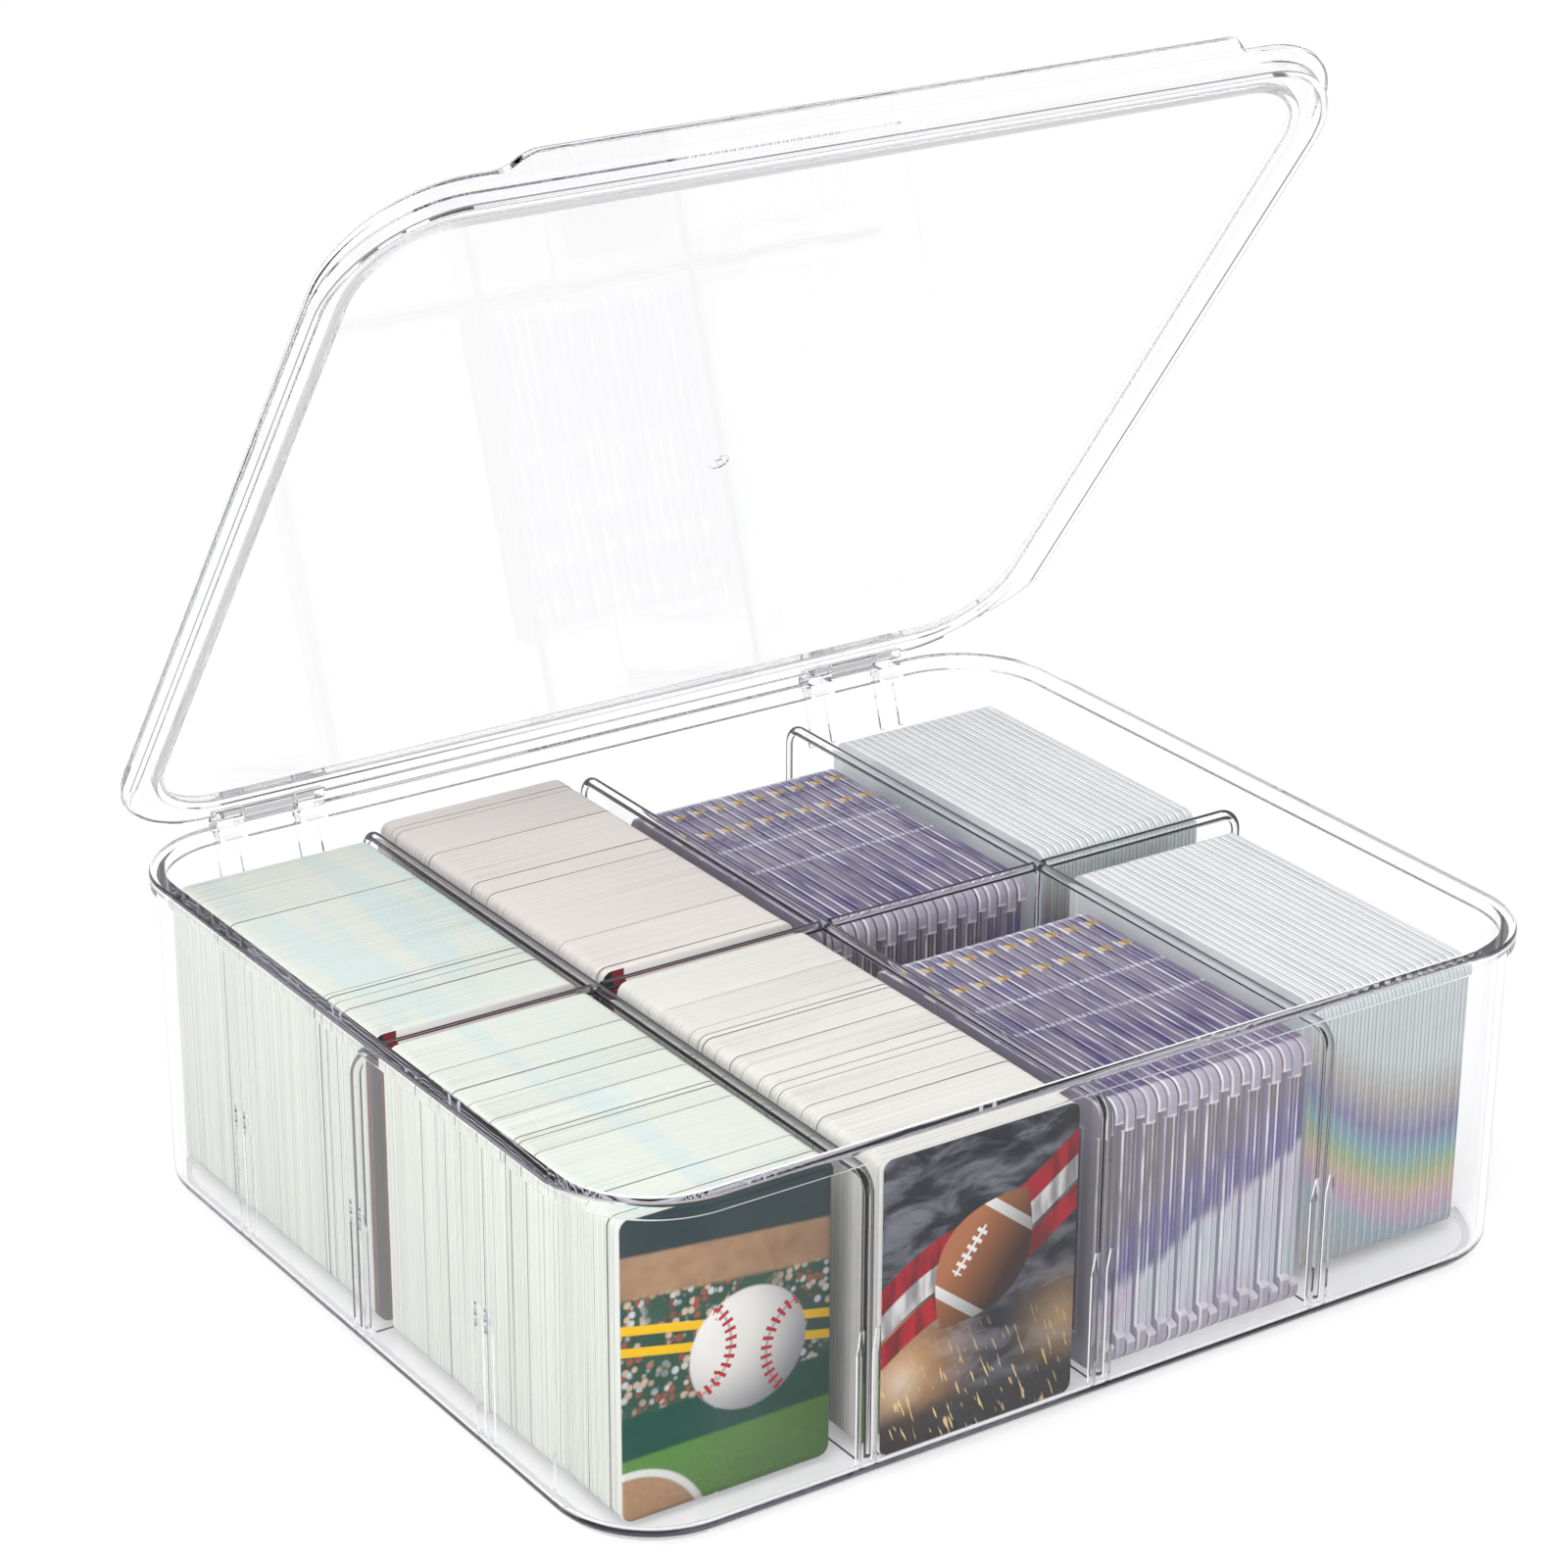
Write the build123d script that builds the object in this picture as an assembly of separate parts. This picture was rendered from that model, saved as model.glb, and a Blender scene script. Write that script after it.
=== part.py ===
from build123d import *
import math
import os

# A clear lidded storage box for trading cards: a bin with a hinged lid, four removable dividers that
# make eight compartments, and the cards, magnetic cases and empty rigid sleeves that stand in them.
# Millimetres. The origin is the middle of the bin's foot, +X is to the right, +Y to the hinged rear.

os.makedirs("parts", exist_ok=True)

# Stored cards
card_width = 63.5
card_height = 88.9
card_thickness = 0.45
picture_card_thickness = 0.6
stack_unevenness = 0.75

# Magnetic cases, which stand on a long edge side by side
case_length = 105.0
case_height = 82.4
half_thickness = 3.4
half_gap = 0.1
case_spacing = 0.4
case_edge_radius = 4.5
base_tab_height = 9.5
base_end_recess = 1.5
cover_tab_height = 6.8
cover_end_recess = 2.4
card_recess = 0.65
card_clearance = 0.3
magnet_radius = 1.6
magnet_length = 2.4
magnet_clearance = 0.06
magnet_below_edge = 4.0
magnet_from_end = 10.0
magnet_row_gap = 16.0

# Empty rigid sleeves, which stand on a long edge side by side
sleeve_length = 110.0
sleeve_height = 86.5
sleeve_thickness = 1.25
sleeve_spacing = 0.2
sleeve_wall = 0.4
sleeve_seam = 3.0
sleeve_corner_radius = 5.0

# Dividers
divider_thickness = 1.8
bead_radius = 1.5
bead_bend = 6.0
divider_foot_cut = 3.0
divider_end_gap = 0.4
divider_drop = 9.5
lap_side_gap = 0.2
lap_end_gap = 0.15
bead_lap_gap = 0.3

# Bin
wall = 2.2
floor_thickness = 2.5
foot_height = 1.6
foot_width = 2.2
column_play = 11.9
row_spare = 23.1
headroom = 9.0
rim_overhang = 2.3
rim_height = 5.0
rim_edge_radius = 0.9
corner_radius = 33.0
bottom_radius = 4.0
cavity_radius = 2.0

# Guide ribs that hold the divider ends
rib_width = 1.4
rib_depth = 2.0
rib_height = 42.0
rib_taper = 8.0
rib_tip = 0.5
rib_clearance = 0.35
spare_rib_place = 68.0

# Hinges
pivot_behind_rim = 2.3
pivot_above_rim = 1.5
pin_radius = 1.6
pin_clearance = 0.08
pin_reach = 6.5
lug_radius = 2.9
lug_width = 9.0
barrel_radius = 2.7
barrel_length = 17.3
barrel_end_gap = 0.35
lug_clearance = 0.4
hinge_from_corner = 19.9
gusset_width = 1.5
gusset_drop = 17.0
gusset_tip = 0.7
gusset_setback = 1.0

# Lid
lid_open_angle = 54.0
lid_gap = 0.3
lid_thickness = 2.2
lid_rear_overhang = 1.0
skirt_gap = 0.8
skirt_thickness = 2.0
skirt_drop = 4.0
skirt_rear_setback = 12.0
skirt_slope = 22.0
front_lip = 4.7
tab_reach = 6.5
tab_sweep = 12.0
tab_from_corner = 5.0
panel_depth = 3.0
panel_wall_gap = 0.7
panel_rear_inset = 13.0
panel_edge_radius = 1.2
lid_edge_radius = 0.8
gate_radius = 3.0
gate_depth = 0.5
gate_nub_radius = 1.1

# How deep a moulded-on feature is rooted in the wall it stands on, and how far a cut runs past a face
root = 0.5
over = 1.0

# Places of the contents in their compartments
stack_from_divider = 3.0
stack_wall_clearance = 0.3
picture_card_gap = 0.3
mid_stack_side = 2.6
case_front_spare = 5.5
case_rear_start = 2.1
sleeve_from_divider = 5.3
sleeve_side_spare = 12.4
sleeve_rear_start = 5.1
sleeve_front_start = 7.1

# Plan of the bin
column_pitch = card_width + column_play + divider_thickness
row_pitch = max(case_length, sleeve_length) + row_spare + divider_thickness / 2
inner_x = 2 * column_pitch
inner_y = row_pitch
inner_corner = corner_radius - rim_overhang - wall
wall_x = inner_x + wall
wall_y = inner_y + wall
wall_corner = inner_corner + wall
rim_x = wall_x + rim_overhang
rim_y = wall_y + rim_overhang

# Heights
floor_top = foot_height + floor_thickness
bin_height = floor_top + max(card_height, case_height, sleeve_height) + headroom
divider_top = bin_height - divider_drop
lap_height = (floor_top + divider_top) / 2
lid_bottom = bin_height + lid_gap
lid_top = lid_bottom + lid_thickness

# Hinge axis and hinge places
pivot_y = rim_y + pivot_behind_rim
pivot_z = bin_height + pivot_above_rim
hinge_x = rim_x - corner_radius - hinge_from_corner
lug_offset = barrel_length / 2 + barrel_end_gap + lug_width / 2
hinge_axis = Axis((0, pivot_y, pivot_z), (1, 0, 0))


def rounded_plan(half_x, half_y, radius, bottom, top):
    """An upright block with rounded corners between two heights."""
    plan = RectangleRounded(2 * half_x, 2 * half_y, radius)
    return Pos(0, 0, bottom) * extrude(plan, top - bottom)


def block(x_range, y_range, z_range):
    """A box given by its ranges."""
    centre = [(low + high) / 2 for low, high in (x_range, y_range, z_range)]
    lengths = [high - low for low, high in (x_range, y_range, z_range)]
    return Pos(*centre) * Box(*lengths)


def bar_along_x(radius, length, x):
    """A round bar on the hinge axis, centred at x."""
    return Pos(x, pivot_y, pivot_z) * Rot(0, 90, 0) * Cylinder(radius, length)


def edges_at(shape, height):
    """The edges that lie flat at one height."""
    return shape.edges().filter_by_position(Axis.Z, height - 0.001, height + 0.001)


def room_along_y(side_x):
    """How far from the middle a piece may reach along Y at this distance from the middle along X,
    clear of the cavity's rounded corner and of the rounding where the wall meets the floor."""
    past_corner = max(side_x - (inner_x - inner_corner), 0)
    radius = inner_corner - cavity_radius - stack_wall_clearance
    return inner_y - inner_corner + math.sqrt(radius ** 2 - past_corner ** 2)


def guide_rib_pair(angle, place, wall_distance):
    """Two tapered ribs on the inside of a wall, one each side of a divider's end. The wall is the one
    that angle turns the -Y wall into."""
    low = floor_top - root
    high = floor_top + rib_height
    back = -wall_distance - root
    front = -wall_distance + rib_depth
    outline = Polyline(
        (back, low),
        (front, low),
        (front, high - rib_taper),
        (-wall_distance + rib_tip, high),
        (back, high),
        close=True,
    )
    rib = extrude(Plane.YZ * make_face(outline), rib_width / 2, both=True)
    offset = bead_radius + rib_clearance + rib_width / 2
    pair = [Pos(place + side * offset, 0, 0) * rib for side in (-1, 1)]
    return [Rot(0, 0, angle) * one for one in pair]


def guide_ribs():
    """Rib pairs for the dividers' ends, and spare ones on the side walls for other cross places."""
    ribs = []
    for angle in (0, 180):
        for column in (-1, 0, 1):
            ribs += guide_rib_pair(angle, column * column_pitch, inner_y)
    for angle in (90, -90):
        for place in (-spare_rib_place, 0, spare_rib_place):
            ribs += guide_rib_pair(angle, place, inner_x)
    return ribs


def hinge_lug(x):
    """A lug behind the rim with the pin's hole, and two pointed gussets under it."""
    low = bin_height - rim_height
    shoulder = bin_height - rim_edge_radius
    left = x - lug_width / 2
    right = x + lug_width / 2
    behind = pivot_y + lug_radius
    lug = block((left, right), (rim_y - root, behind), (low, shoulder))
    lug += block((left, right), (pivot_y - lug_radius, behind), (shoulder, pivot_z))
    lug += bar_along_x(lug_radius, lug_width, x)
    fin_outline = Polyline(
        (wall_y - root, low + root),
        (behind - gusset_setback, low + root),
        (wall_y + gusset_tip, low - gusset_drop),
        (wall_y - root, low - gusset_drop),
        close=True,
    )
    fin = extrude(Plane.YZ * make_face(fin_outline), gusset_width / 2, both=True)
    for place in (left + gusset_width / 2, right - gusset_width / 2):
        lug += Pos(place, 0, 0) * fin
    return lug


def bin_part():
    """The clear bin: walls, floor, foot ring, rolled rim, guide ribs and hinge lugs."""
    shell = rounded_plan(wall_x, wall_y, wall_corner, foot_height, bin_height)
    shell = fillet(edges_at(shell, foot_height), bottom_radius)
    rim = rounded_plan(rim_x, rim_y, corner_radius, bin_height - rim_height, bin_height)
    rim = fillet(edges_at(rim, bin_height), rim_edge_radius)
    rim = fillet(edges_at(rim, bin_height - rim_height), rim_edge_radius)
    foot_out = bottom_radius
    foot = rounded_plan(wall_x - foot_out, wall_y - foot_out, wall_corner - foot_out, 0, foot_height + root)
    foot_in = foot_out + foot_width
    foot -= rounded_plan(wall_x - foot_in, wall_y - foot_in, wall_corner - foot_in, 0, foot_height)
    cavity = rounded_plan(inner_x, inner_y, inner_corner, floor_top, bin_height + over)
    cavity = fillet(edges_at(cavity, floor_top), cavity_radius)
    body = shell + rim + foot - cavity
    body += guide_ribs()
    lugs = []
    holes = []
    for side in (-1, 1):
        for lug_side in (-1, 1):
            x = side * hinge_x + lug_side * lug_offset
            lugs.append(hinge_lug(x))
            holes.append(bar_along_x(pin_radius + pin_clearance, lug_width + over, x))
    return body + lugs - holes


def lid_outline():
    """The lid's plate seen from above, with its long pull tab. The tab's ends are S curves."""
    half_x = rim_x + skirt_gap + skirt_thickness
    front = -(rim_y + skirt_gap + skirt_thickness + front_lip)
    rear = rim_y + lid_rear_overhang
    radius = corner_radius + skirt_gap + skirt_thickness
    plate = Pos(0, (front + rear) / 2) * RectangleRounded(2 * half_x, rear - front, radius)
    foot = half_x - radius - tab_from_corner
    head = foot - tab_sweep
    middle = (foot + head) / 2
    half_way = front - tab_reach / 2
    end = front - tab_reach
    edges = [
        TangentArc((-foot, front), (-middle, half_way), tangent=(1, 0)),
        TangentArc((-head, end), (-middle, half_way), tangent=(-1, 0)),
        Line((-head, end), (head, end)),
        TangentArc((head, end), (middle, half_way), tangent=(1, 0)),
        TangentArc((foot, front), (middle, half_way), tangent=(-1, 0)),
        Polyline((foot, front), (foot, front + over), (-foot, front + over), (-foot, front)),
    ]
    return plate + make_face(edges)


def lid_panel(grow, bottom, top):
    """The sunk middle of the lid, grown to the outside of its wall by the given amount."""
    half_x = inner_x - panel_wall_gap - lid_thickness + grow
    front = -(inner_y - panel_wall_gap - lid_thickness + grow)
    rear = rim_y + lid_rear_overhang - panel_rear_inset + grow
    radius = inner_corner - panel_wall_gap - lid_thickness + grow
    plan = Pos(0, (front + rear) / 2) * RectangleRounded(2 * half_x, rear - front, radius)
    return Pos(0, 0, bottom) * extrude(plan, top - bottom)


def lid_skirt():
    """The wall that hangs outside the rim along the front and the sides, and slopes up at its ends."""
    low = bin_height - skirt_drop
    inner = skirt_gap
    outer = skirt_gap + skirt_thickness
    skirt = rounded_plan(rim_x + outer, rim_y + outer, corner_radius + outer, low, lid_bottom + root)
    skirt -= rounded_plan(rim_x + inner, rim_y + inner, corner_radius + inner, low, lid_bottom + root)
    end = rim_y - skirt_rear_setback
    behind = Polyline(
        (end - skirt_slope, low - over),
        (end - skirt_slope, low),
        (end, lid_bottom),
        (end, lid_top),
        (2 * rim_y, lid_top),
        (2 * rim_y, low - over),
        close=True,
    )
    return skirt - extrude(Plane.YZ * make_face(behind), 2 * rim_x, both=True)


def lid_hinge(x):
    """The lid's half of one hinge: a barrel with a pin at each end, joined to the plate's rear edge."""
    barrel = bar_along_x(barrel_radius, barrel_length, x)
    pins = bar_along_x(pin_radius, barrel_length + 2 * pin_reach, x)
    half = barrel_length / 2
    web = block((x - half, x + half), (rim_y, pivot_y), (lid_bottom, lid_top))
    return barrel + pins + web


def lid_part():
    """The clear lid, made closed and then turned open about the hinge axis."""
    plate = Pos(0, 0, lid_bottom) * extrude(lid_outline(), lid_thickness)
    plate = fillet(edges_at(plate, lid_top), lid_edge_radius)
    under = lid_panel(lid_thickness, lid_bottom - panel_depth, lid_bottom + root)
    under = fillet(edges_at(under, lid_bottom - panel_depth), panel_edge_radius)
    sink = lid_panel(0, lid_top - panel_depth, lid_top + over)
    sink = fillet(edges_at(sink, lid_top - panel_depth), panel_edge_radius)
    body = plate + under + lid_skirt() - sink
    for side in (-1, 1):
        for lug_side in (-1, 1):
            x = side * hinge_x + lug_side * lug_offset
            body -= bar_along_x(lug_radius + lug_clearance, lug_width + 2 * barrel_end_gap, x)
    body += [lid_hinge(side * hinge_x) for side in (-1, 1)]
    sunk_top = lid_top - panel_depth
    body -= Pos(0, 0, sunk_top) * Cylinder(gate_radius, 2 * gate_depth)
    body += Pos(0, 0, sunk_top - gate_depth / 2) * Cylinder(gate_nub_radius, gate_depth)
    return body.rotate(hinge_axis, -lid_open_angle)


def divider_blank(half_length):
    """A divider standing on the floor along X: a sheet with a round bead on its ends and top."""
    side = half_length - bead_radius
    top = divider_top - bead_radius
    foot = floor_top + divider_foot_cut
    path = FilletPolyline((-side, foot), (-side, top), (side, top), (side, foot), radius=bead_bend)
    closing = Polyline(
        (side, foot),
        (side - divider_foot_cut, floor_top),
        (-side + divider_foot_cut, floor_top),
        (-side, foot),
    )
    sheet = extrude(Plane.XZ * make_face(path.edges() + closing.edges()), divider_thickness / 2, both=True)
    line = Plane.XZ * path
    section = Plane(origin=line @ 0, z_dir=line % 0) * Circle(bead_radius)
    return sheet + sweep(section, path=line)


def cross_divider():
    """The divider from side to side. Its slots are open at the top, and wider where the beads pass."""
    body = divider_blank(inner_x - divider_end_gap)
    half_slot = divider_thickness / 2 + lap_side_gap
    half_bead = bead_radius + bead_lap_gap
    bead_low = divider_top - 2 * bead_radius - bead_lap_gap
    for column in (-1, 0, 1):
        x = column * column_pitch
        reach = (-3 * bead_radius, 3 * bead_radius)
        body -= block((x - half_slot, x + half_slot), reach, (lap_height - lap_end_gap, divider_top + over))
        body -= block((x - half_bead, x + half_bead), reach, (bead_low, divider_top + over))
    return body


def long_divider(column):
    """A divider from front to rear, whose slot is open at the bottom and straddles the cross one."""
    body = Rot(0, 0, 90) * divider_blank(inner_y - divider_end_gap)
    half_slot = divider_thickness / 2 + lap_side_gap
    reach = (-3 * bead_radius, 3 * bead_radius)
    body -= block(reach, (-half_slot, half_slot), (floor_top - over, lap_height + lap_end_gap))
    return Pos(column * column_pitch, 0, 0) * body


def card_block(left, width, y_range, height):
    """Cards that stand on the floor."""
    return block((left, left + width), y_range, (floor_top, floor_top + height))


def card_stacks():
    """The four packed stacks and the picture card that stands in front of each front stack."""
    stack_width = card_width + 2 * stack_unevenness
    near = divider_thickness / 2 + stack_from_divider
    left_side = -column_pitch - bead_radius - mid_stack_side - stack_width
    left_end = room_along_y(-left_side)
    picture_depth = picture_card_gap + picture_card_thickness
    mid_side = -column_pitch + bead_radius + mid_stack_side
    mid_end = inner_y - rib_depth - stack_wall_clearance
    stacks = {}
    for name, side, end in (("left", left_side, left_end), ("mid", mid_side, mid_end)):
        front_end = end - picture_depth
        stacks["card_stack_" + name + "_rear"] = card_block(side, stack_width, (near, end), card_height)
        stacks["card_stack_" + name + "_front"] = card_block(side, stack_width, (-front_end, -near), card_height)
        card_left = side + stack_unevenness
        card_range = (-end, -end + picture_card_thickness)
        stacks["picture_card_" + name] = card_block(card_left, card_width, card_range, card_height)
    return stacks


def case_half(x_low, tab, recess):
    """One half of a magnetic case, with its rear end at Y 0 and its long edge on Z 0. Both ends are
    set back between a tab at the top and a tab at the bottom."""
    middle = Plane.YZ * Pos(-case_length / 2, case_height / 2)
    plan = middle * RectangleRounded(case_length, case_height, case_edge_radius)
    half = Pos(x_low, 0, 0) * extrude(plan, half_thickness)
    between_tabs = (tab, case_height - tab)
    across = (x_low - over, x_low + half_thickness + over)
    half -= block(across, (-recess, over), between_tabs)
    half -= block(across, (-case_length - over, -case_length + recess), between_tabs)
    return half


def magnet_places():
    """Where the magnets sit along the upper edge of a case, in Y and Z."""
    height = case_height - magnet_below_edge
    return [(-magnet_from_end, height), (-magnet_from_end - magnet_row_gap, height)]


def magnetic_case():
    """The pieces of one magnetic case: base, cover, magnets and the card in the base's recess."""
    cover_low = half_thickness + half_gap
    base = case_half(0, base_tab_height, base_end_recess)
    cover = case_half(cover_low, cover_tab_height, cover_end_recess)
    card_y = case_length / 2
    card_z = case_height / 2
    half_y = card_height / 2
    half_z = card_width / 2
    recess_y = (-card_y - half_y - card_clearance, -card_y + half_y + card_clearance)
    recess_z = (card_z - half_z - card_clearance, card_z + half_z + card_clearance)
    base -= block((half_thickness - card_recess, cover_low), recess_y, recess_z)
    card_x = half_thickness - (card_recess + card_thickness) / 2
    card_ranges = ((-card_y - half_y, -card_y + half_y), (card_z - half_z, card_z + half_z))
    card = block((card_x, card_x + card_thickness), *card_ranges)
    magnets = []
    pocket_depth = magnet_length + 2 * magnet_clearance
    for y, z in magnet_places():
        pocket = Rot(0, 90, 0) * Cylinder(magnet_radius + magnet_clearance, pocket_depth)
        magnet = Rot(0, 90, 0) * Cylinder(magnet_radius, magnet_length)
        in_base = half_thickness - pocket_depth / 2
        in_cover = cover_low + pocket_depth / 2
        base -= Pos(in_base, y, z) * pocket
        cover -= Pos(in_cover, y, z) * pocket
        magnets += [Pos(in_base, y, z) * magnet, Pos(in_cover, y, z) * magnet]
    return {"bases": [base], "covers": [cover], "magnets": magnets, "cards": [card]}


def case_groups():
    """Rows of magnetic cases that fill the third column, rear and front."""
    column_room = column_pitch - divider_thickness
    thickness = 2 * half_thickness + half_gap
    pitch = thickness + case_spacing
    count = int((column_room - case_spacing) // pitch)
    first = (column_pitch - count * pitch + case_spacing) / 2
    pieces = magnetic_case()
    rear_end = divider_thickness / 2 + case_rear_start + case_length
    front_end = -inner_y + case_front_spare + case_length
    groups = {}
    for name, end in (("rear", rear_end), ("front", front_end)):
        for kind, shapes in pieces.items():
            places = [Pos(first + i * pitch, end, floor_top) for i in range(count)]
            groups["case_" + kind + "_" + name] = [place * shape for place in places for shape in shapes]
    return groups


def rigid_sleeve():
    """One empty sleeve with its left face at X 0, its rear end at Y 0 and its long edge on Z 0. The
    pocket is closed by a seam round three edges and open at the rear end."""
    middle = Plane.YZ * Pos(-sleeve_length / 2, sleeve_height / 2)
    plan = middle * RectangleRounded(sleeve_length, sleeve_height, sleeve_corner_radius)
    pocket = block(
        (sleeve_wall, sleeve_thickness - sleeve_wall),
        (sleeve_seam - sleeve_length, over),
        (sleeve_seam, sleeve_height - sleeve_seam),
    )
    return extrude(plan, sleeve_thickness) - pocket


def sleeve_groups():
    """Rows of rigid sleeves in the right-hand column, rear and front."""
    sleeve = rigid_sleeve()
    pitch = sleeve_thickness + sleeve_spacing
    left = column_pitch + bead_radius + sleeve_from_divider
    room = inner_x - sleeve_side_spare - left
    count = int((room + sleeve_spacing) // pitch)
    near = divider_thickness / 2
    ends = {"rear": near + sleeve_rear_start + sleeve_length, "front": -near - sleeve_front_start}
    groups = {}
    for name, end in ends.items():
        groups["sleeves_" + name] = [Pos(left + i * pitch, end, floor_top) * sleeve for i in range(count)]
    return groups


nodes = {
    "bin": bin_part(),
    "lid": lid_part(),
    "cross_divider": cross_divider(),
    "long_divider_left": long_divider(-1),
    "long_divider_centre": long_divider(0),
    "long_divider_right": long_divider(1),
}
nodes.update(card_stacks())
for node, shapes in {**case_groups(), **sleeve_groups()}.items():
    nodes[node] = Compound(children=shapes)

for node, shape in nodes.items():
    export_step(shape, "parts/" + node + ".step")
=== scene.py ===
import math
from functools import partial

import bpy
import numpy as np
from bpy.props import FloatProperty, FloatVectorProperty, IntProperty, PointerProperty
from bpy.types import Operator, Panel, PropertyGroup
from mathutils import Matrix, Vector


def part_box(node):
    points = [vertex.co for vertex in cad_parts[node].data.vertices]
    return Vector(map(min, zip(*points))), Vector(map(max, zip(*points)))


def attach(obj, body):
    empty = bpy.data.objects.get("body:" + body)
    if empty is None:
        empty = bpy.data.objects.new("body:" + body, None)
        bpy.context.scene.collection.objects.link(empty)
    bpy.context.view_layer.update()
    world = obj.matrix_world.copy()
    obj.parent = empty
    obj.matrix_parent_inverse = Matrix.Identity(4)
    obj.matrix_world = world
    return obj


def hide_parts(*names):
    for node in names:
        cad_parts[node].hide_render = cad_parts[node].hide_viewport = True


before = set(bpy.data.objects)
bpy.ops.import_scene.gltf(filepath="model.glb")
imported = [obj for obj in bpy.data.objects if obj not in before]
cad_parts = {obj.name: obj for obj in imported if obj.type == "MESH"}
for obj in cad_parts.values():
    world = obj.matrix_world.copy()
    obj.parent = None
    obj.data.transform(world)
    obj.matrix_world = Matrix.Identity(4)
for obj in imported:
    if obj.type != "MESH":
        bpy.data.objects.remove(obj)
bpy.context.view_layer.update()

bl_info = {
    "name": "Trading card storage box",
    "version": (1, 0, 0),
    "blender": (4, 5, 0),
    "location": "3D View > Sidebar > Card Box",
    "description": "Dresses a clear lidded box of trading cards, magnetic cases and rigid sleeves",
    "category": "Add Mesh",
}

CLEAR_OF_FLOOR = 0.00015

# Heights of a direction, from 0 level to 1 straight up: where the white walls give way to the ceiling,
# and where the ring of panels is, with the half width of its full tone and of its soft edge
WALLS_END = (0.40, 0.52)
PANELS_HEIGHT = 0.78
PANELS_HALF = (0.09, 0.12)

# The point in the box that the lamps are turned to
LAMPS_FACE = (0, 0, 0.05)

# Light passes many walls of clear plastic and is mirrored inside each of them
LIGHT_BOUNCES = {
    "max_bounces": 64,
    "transmission_bounces": 64,
    "glossy_bounces": 64,
    "diffuse_bounces": 3,
    "transparent_max_bounces": 24,
}

# Colours of the stress rainbow on the sleeves' front ends, from low to high
SLEEVE_RAINBOW = (
    (0.15, (0.46, 0.44, 0.42)),
    (0.34, (0.32, 0.46, 0.54)),
    (0.43, (0.60, 0.36, 0.52)),
    (0.51, (0.62, 0.46, 0.26)),
    (0.57, (0.34, 0.48, 0.20)),
    (0.64, (0.16, 0.40, 0.48)),
    (0.72, (0.20, 0.18, 0.42)),
    (0.84, (0.50, 0.46, 0.42)),
    (0.98, (0.70, 0.78, 0.78)),
)
# A painted highlight's colour on the sleeves, also used for the welded line
SLEEVE_SHINE = (0.93, 0.94, 0.95)

# A picture card's height in card widths
CARD_HEIGHT_SHARE = 1.4

# How far a face of clear plastic is turned where its painted dark line of shade begins and where it is
# full, from 0 for one that looks at the viewer to 1 for one seen edge on
BIN_EDGE = (0.80, 0.99)
LID_EDGE = (0.66, 0.92)
CROSS_DIVIDER_EDGE = (0.25, 0.33)
LONG_DIVIDER_EDGE = (0.42, 0.50)

# Lines along each half of a magnetic case, as shares of its thickness: the line's place, the half width
# of its full tone and that of its soft edge. The pale line is a painted highlight and the thin line a
# fainter painted highlight. The gap to the next half is painted dark, as shade, from the last place on.
CASE_HIGHLIGHT_LINE = (0.12, 0.06, 0.10)
CASE_FINE_LINE = (0.27, 0.02, 0.045)
CASE_FAINT_HIGHLIGHT_LINE = (0.52, 0.03, 0.07)
CASE_GAP_SHADE_FROM = (0.80, 0.86)

# A base's tabs begin this share of the case's height from its middle, and a cover's begin further out
CASE_TAB_LEVEL = 0.385
CASE_COVER_TAB_LESS = 0.032

# Painted highlights: the bright outlines and pale lines on the cases' ends
CASE_HIGHLIGHT = (0.92, 0.91, 0.95)


def colour_property(name, description, default):
    """A colour that a user can change."""
    return FloatVectorProperty(
        name=name, description=description, default=default, subtype="COLOR", size=3, min=0, max=1
    )


def length_property(name, description, default):
    """A length in metres that a user can change."""
    return FloatProperty(
        name=name, description=description, default=default, unit="LENGTH", precision=5, min=0
    )


def angle_property(name, description, degrees):
    """An angle that a user can change, written here in degrees."""
    return FloatProperty(name=name, description=description, default=math.radians(degrees), subtype="ANGLE")


def share_property(name, description, default):
    """A share from 0 to 1 that a user can change."""
    return FloatProperty(name=name, description=description, default=default, subtype="FACTOR", min=0, max=1)


def number_property(name, description, default, **limits):
    """A plain number that a user can change."""
    return FloatProperty(name=name, description=description, default=default, precision=4, **limits)


# Settings

class ClearPlasticSettings(PropertyGroup):
    ior: number_property("IOR", "How strongly the clear plastic bends light", 1.49)
    gloss: share_property("Gloss", "Share of the clear plastic's reflections", 0.22)
    roughness: number_property("Roughness", "Roughness of the polished plastic", 0.004, min=0)
    absorption: number_property("Absorption", "How fast the plastic takes light, per metre", 5.0, min=0)
    # Painted shade: the dark colour painted on clear plastic where its edges turn away from sight
    edge_shade: colour_property("Edge tint", "Edges that turn away from sight", (0.030, 0.026, 0.042))
    edge_shade_depth: share_property("Edge depth", "How solid the edges' colour is", 0.9)
    bead_width: length_property("Bead width", "Width of the bead along a divider's edge", 0.003)
    clear: colour_property("Clear", "Colour of the plastic seen straight on", (0.99, 0.99, 0.993))
    absorbed_tint: colour_property("Tint", "White light after a long way in the plastic", (0.22, 0.18, 0.36))
    wave_height: length_property("Waviness", "Height of the moulded faces' slight waves", 0.00004)
    lid_angle: angle_property("Lid angle", "How far the lid stands open at rest", 54)
    fold_shade: share_property("Fold shade", "How dark the lid's rounded folds are", 0.40)
    # Painted shade: a dark line along the lid skirt's free edge
    lip_shade_line: length_property("Lip line", "Width of the dark line along the skirt's free edge", 0.0006)


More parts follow.
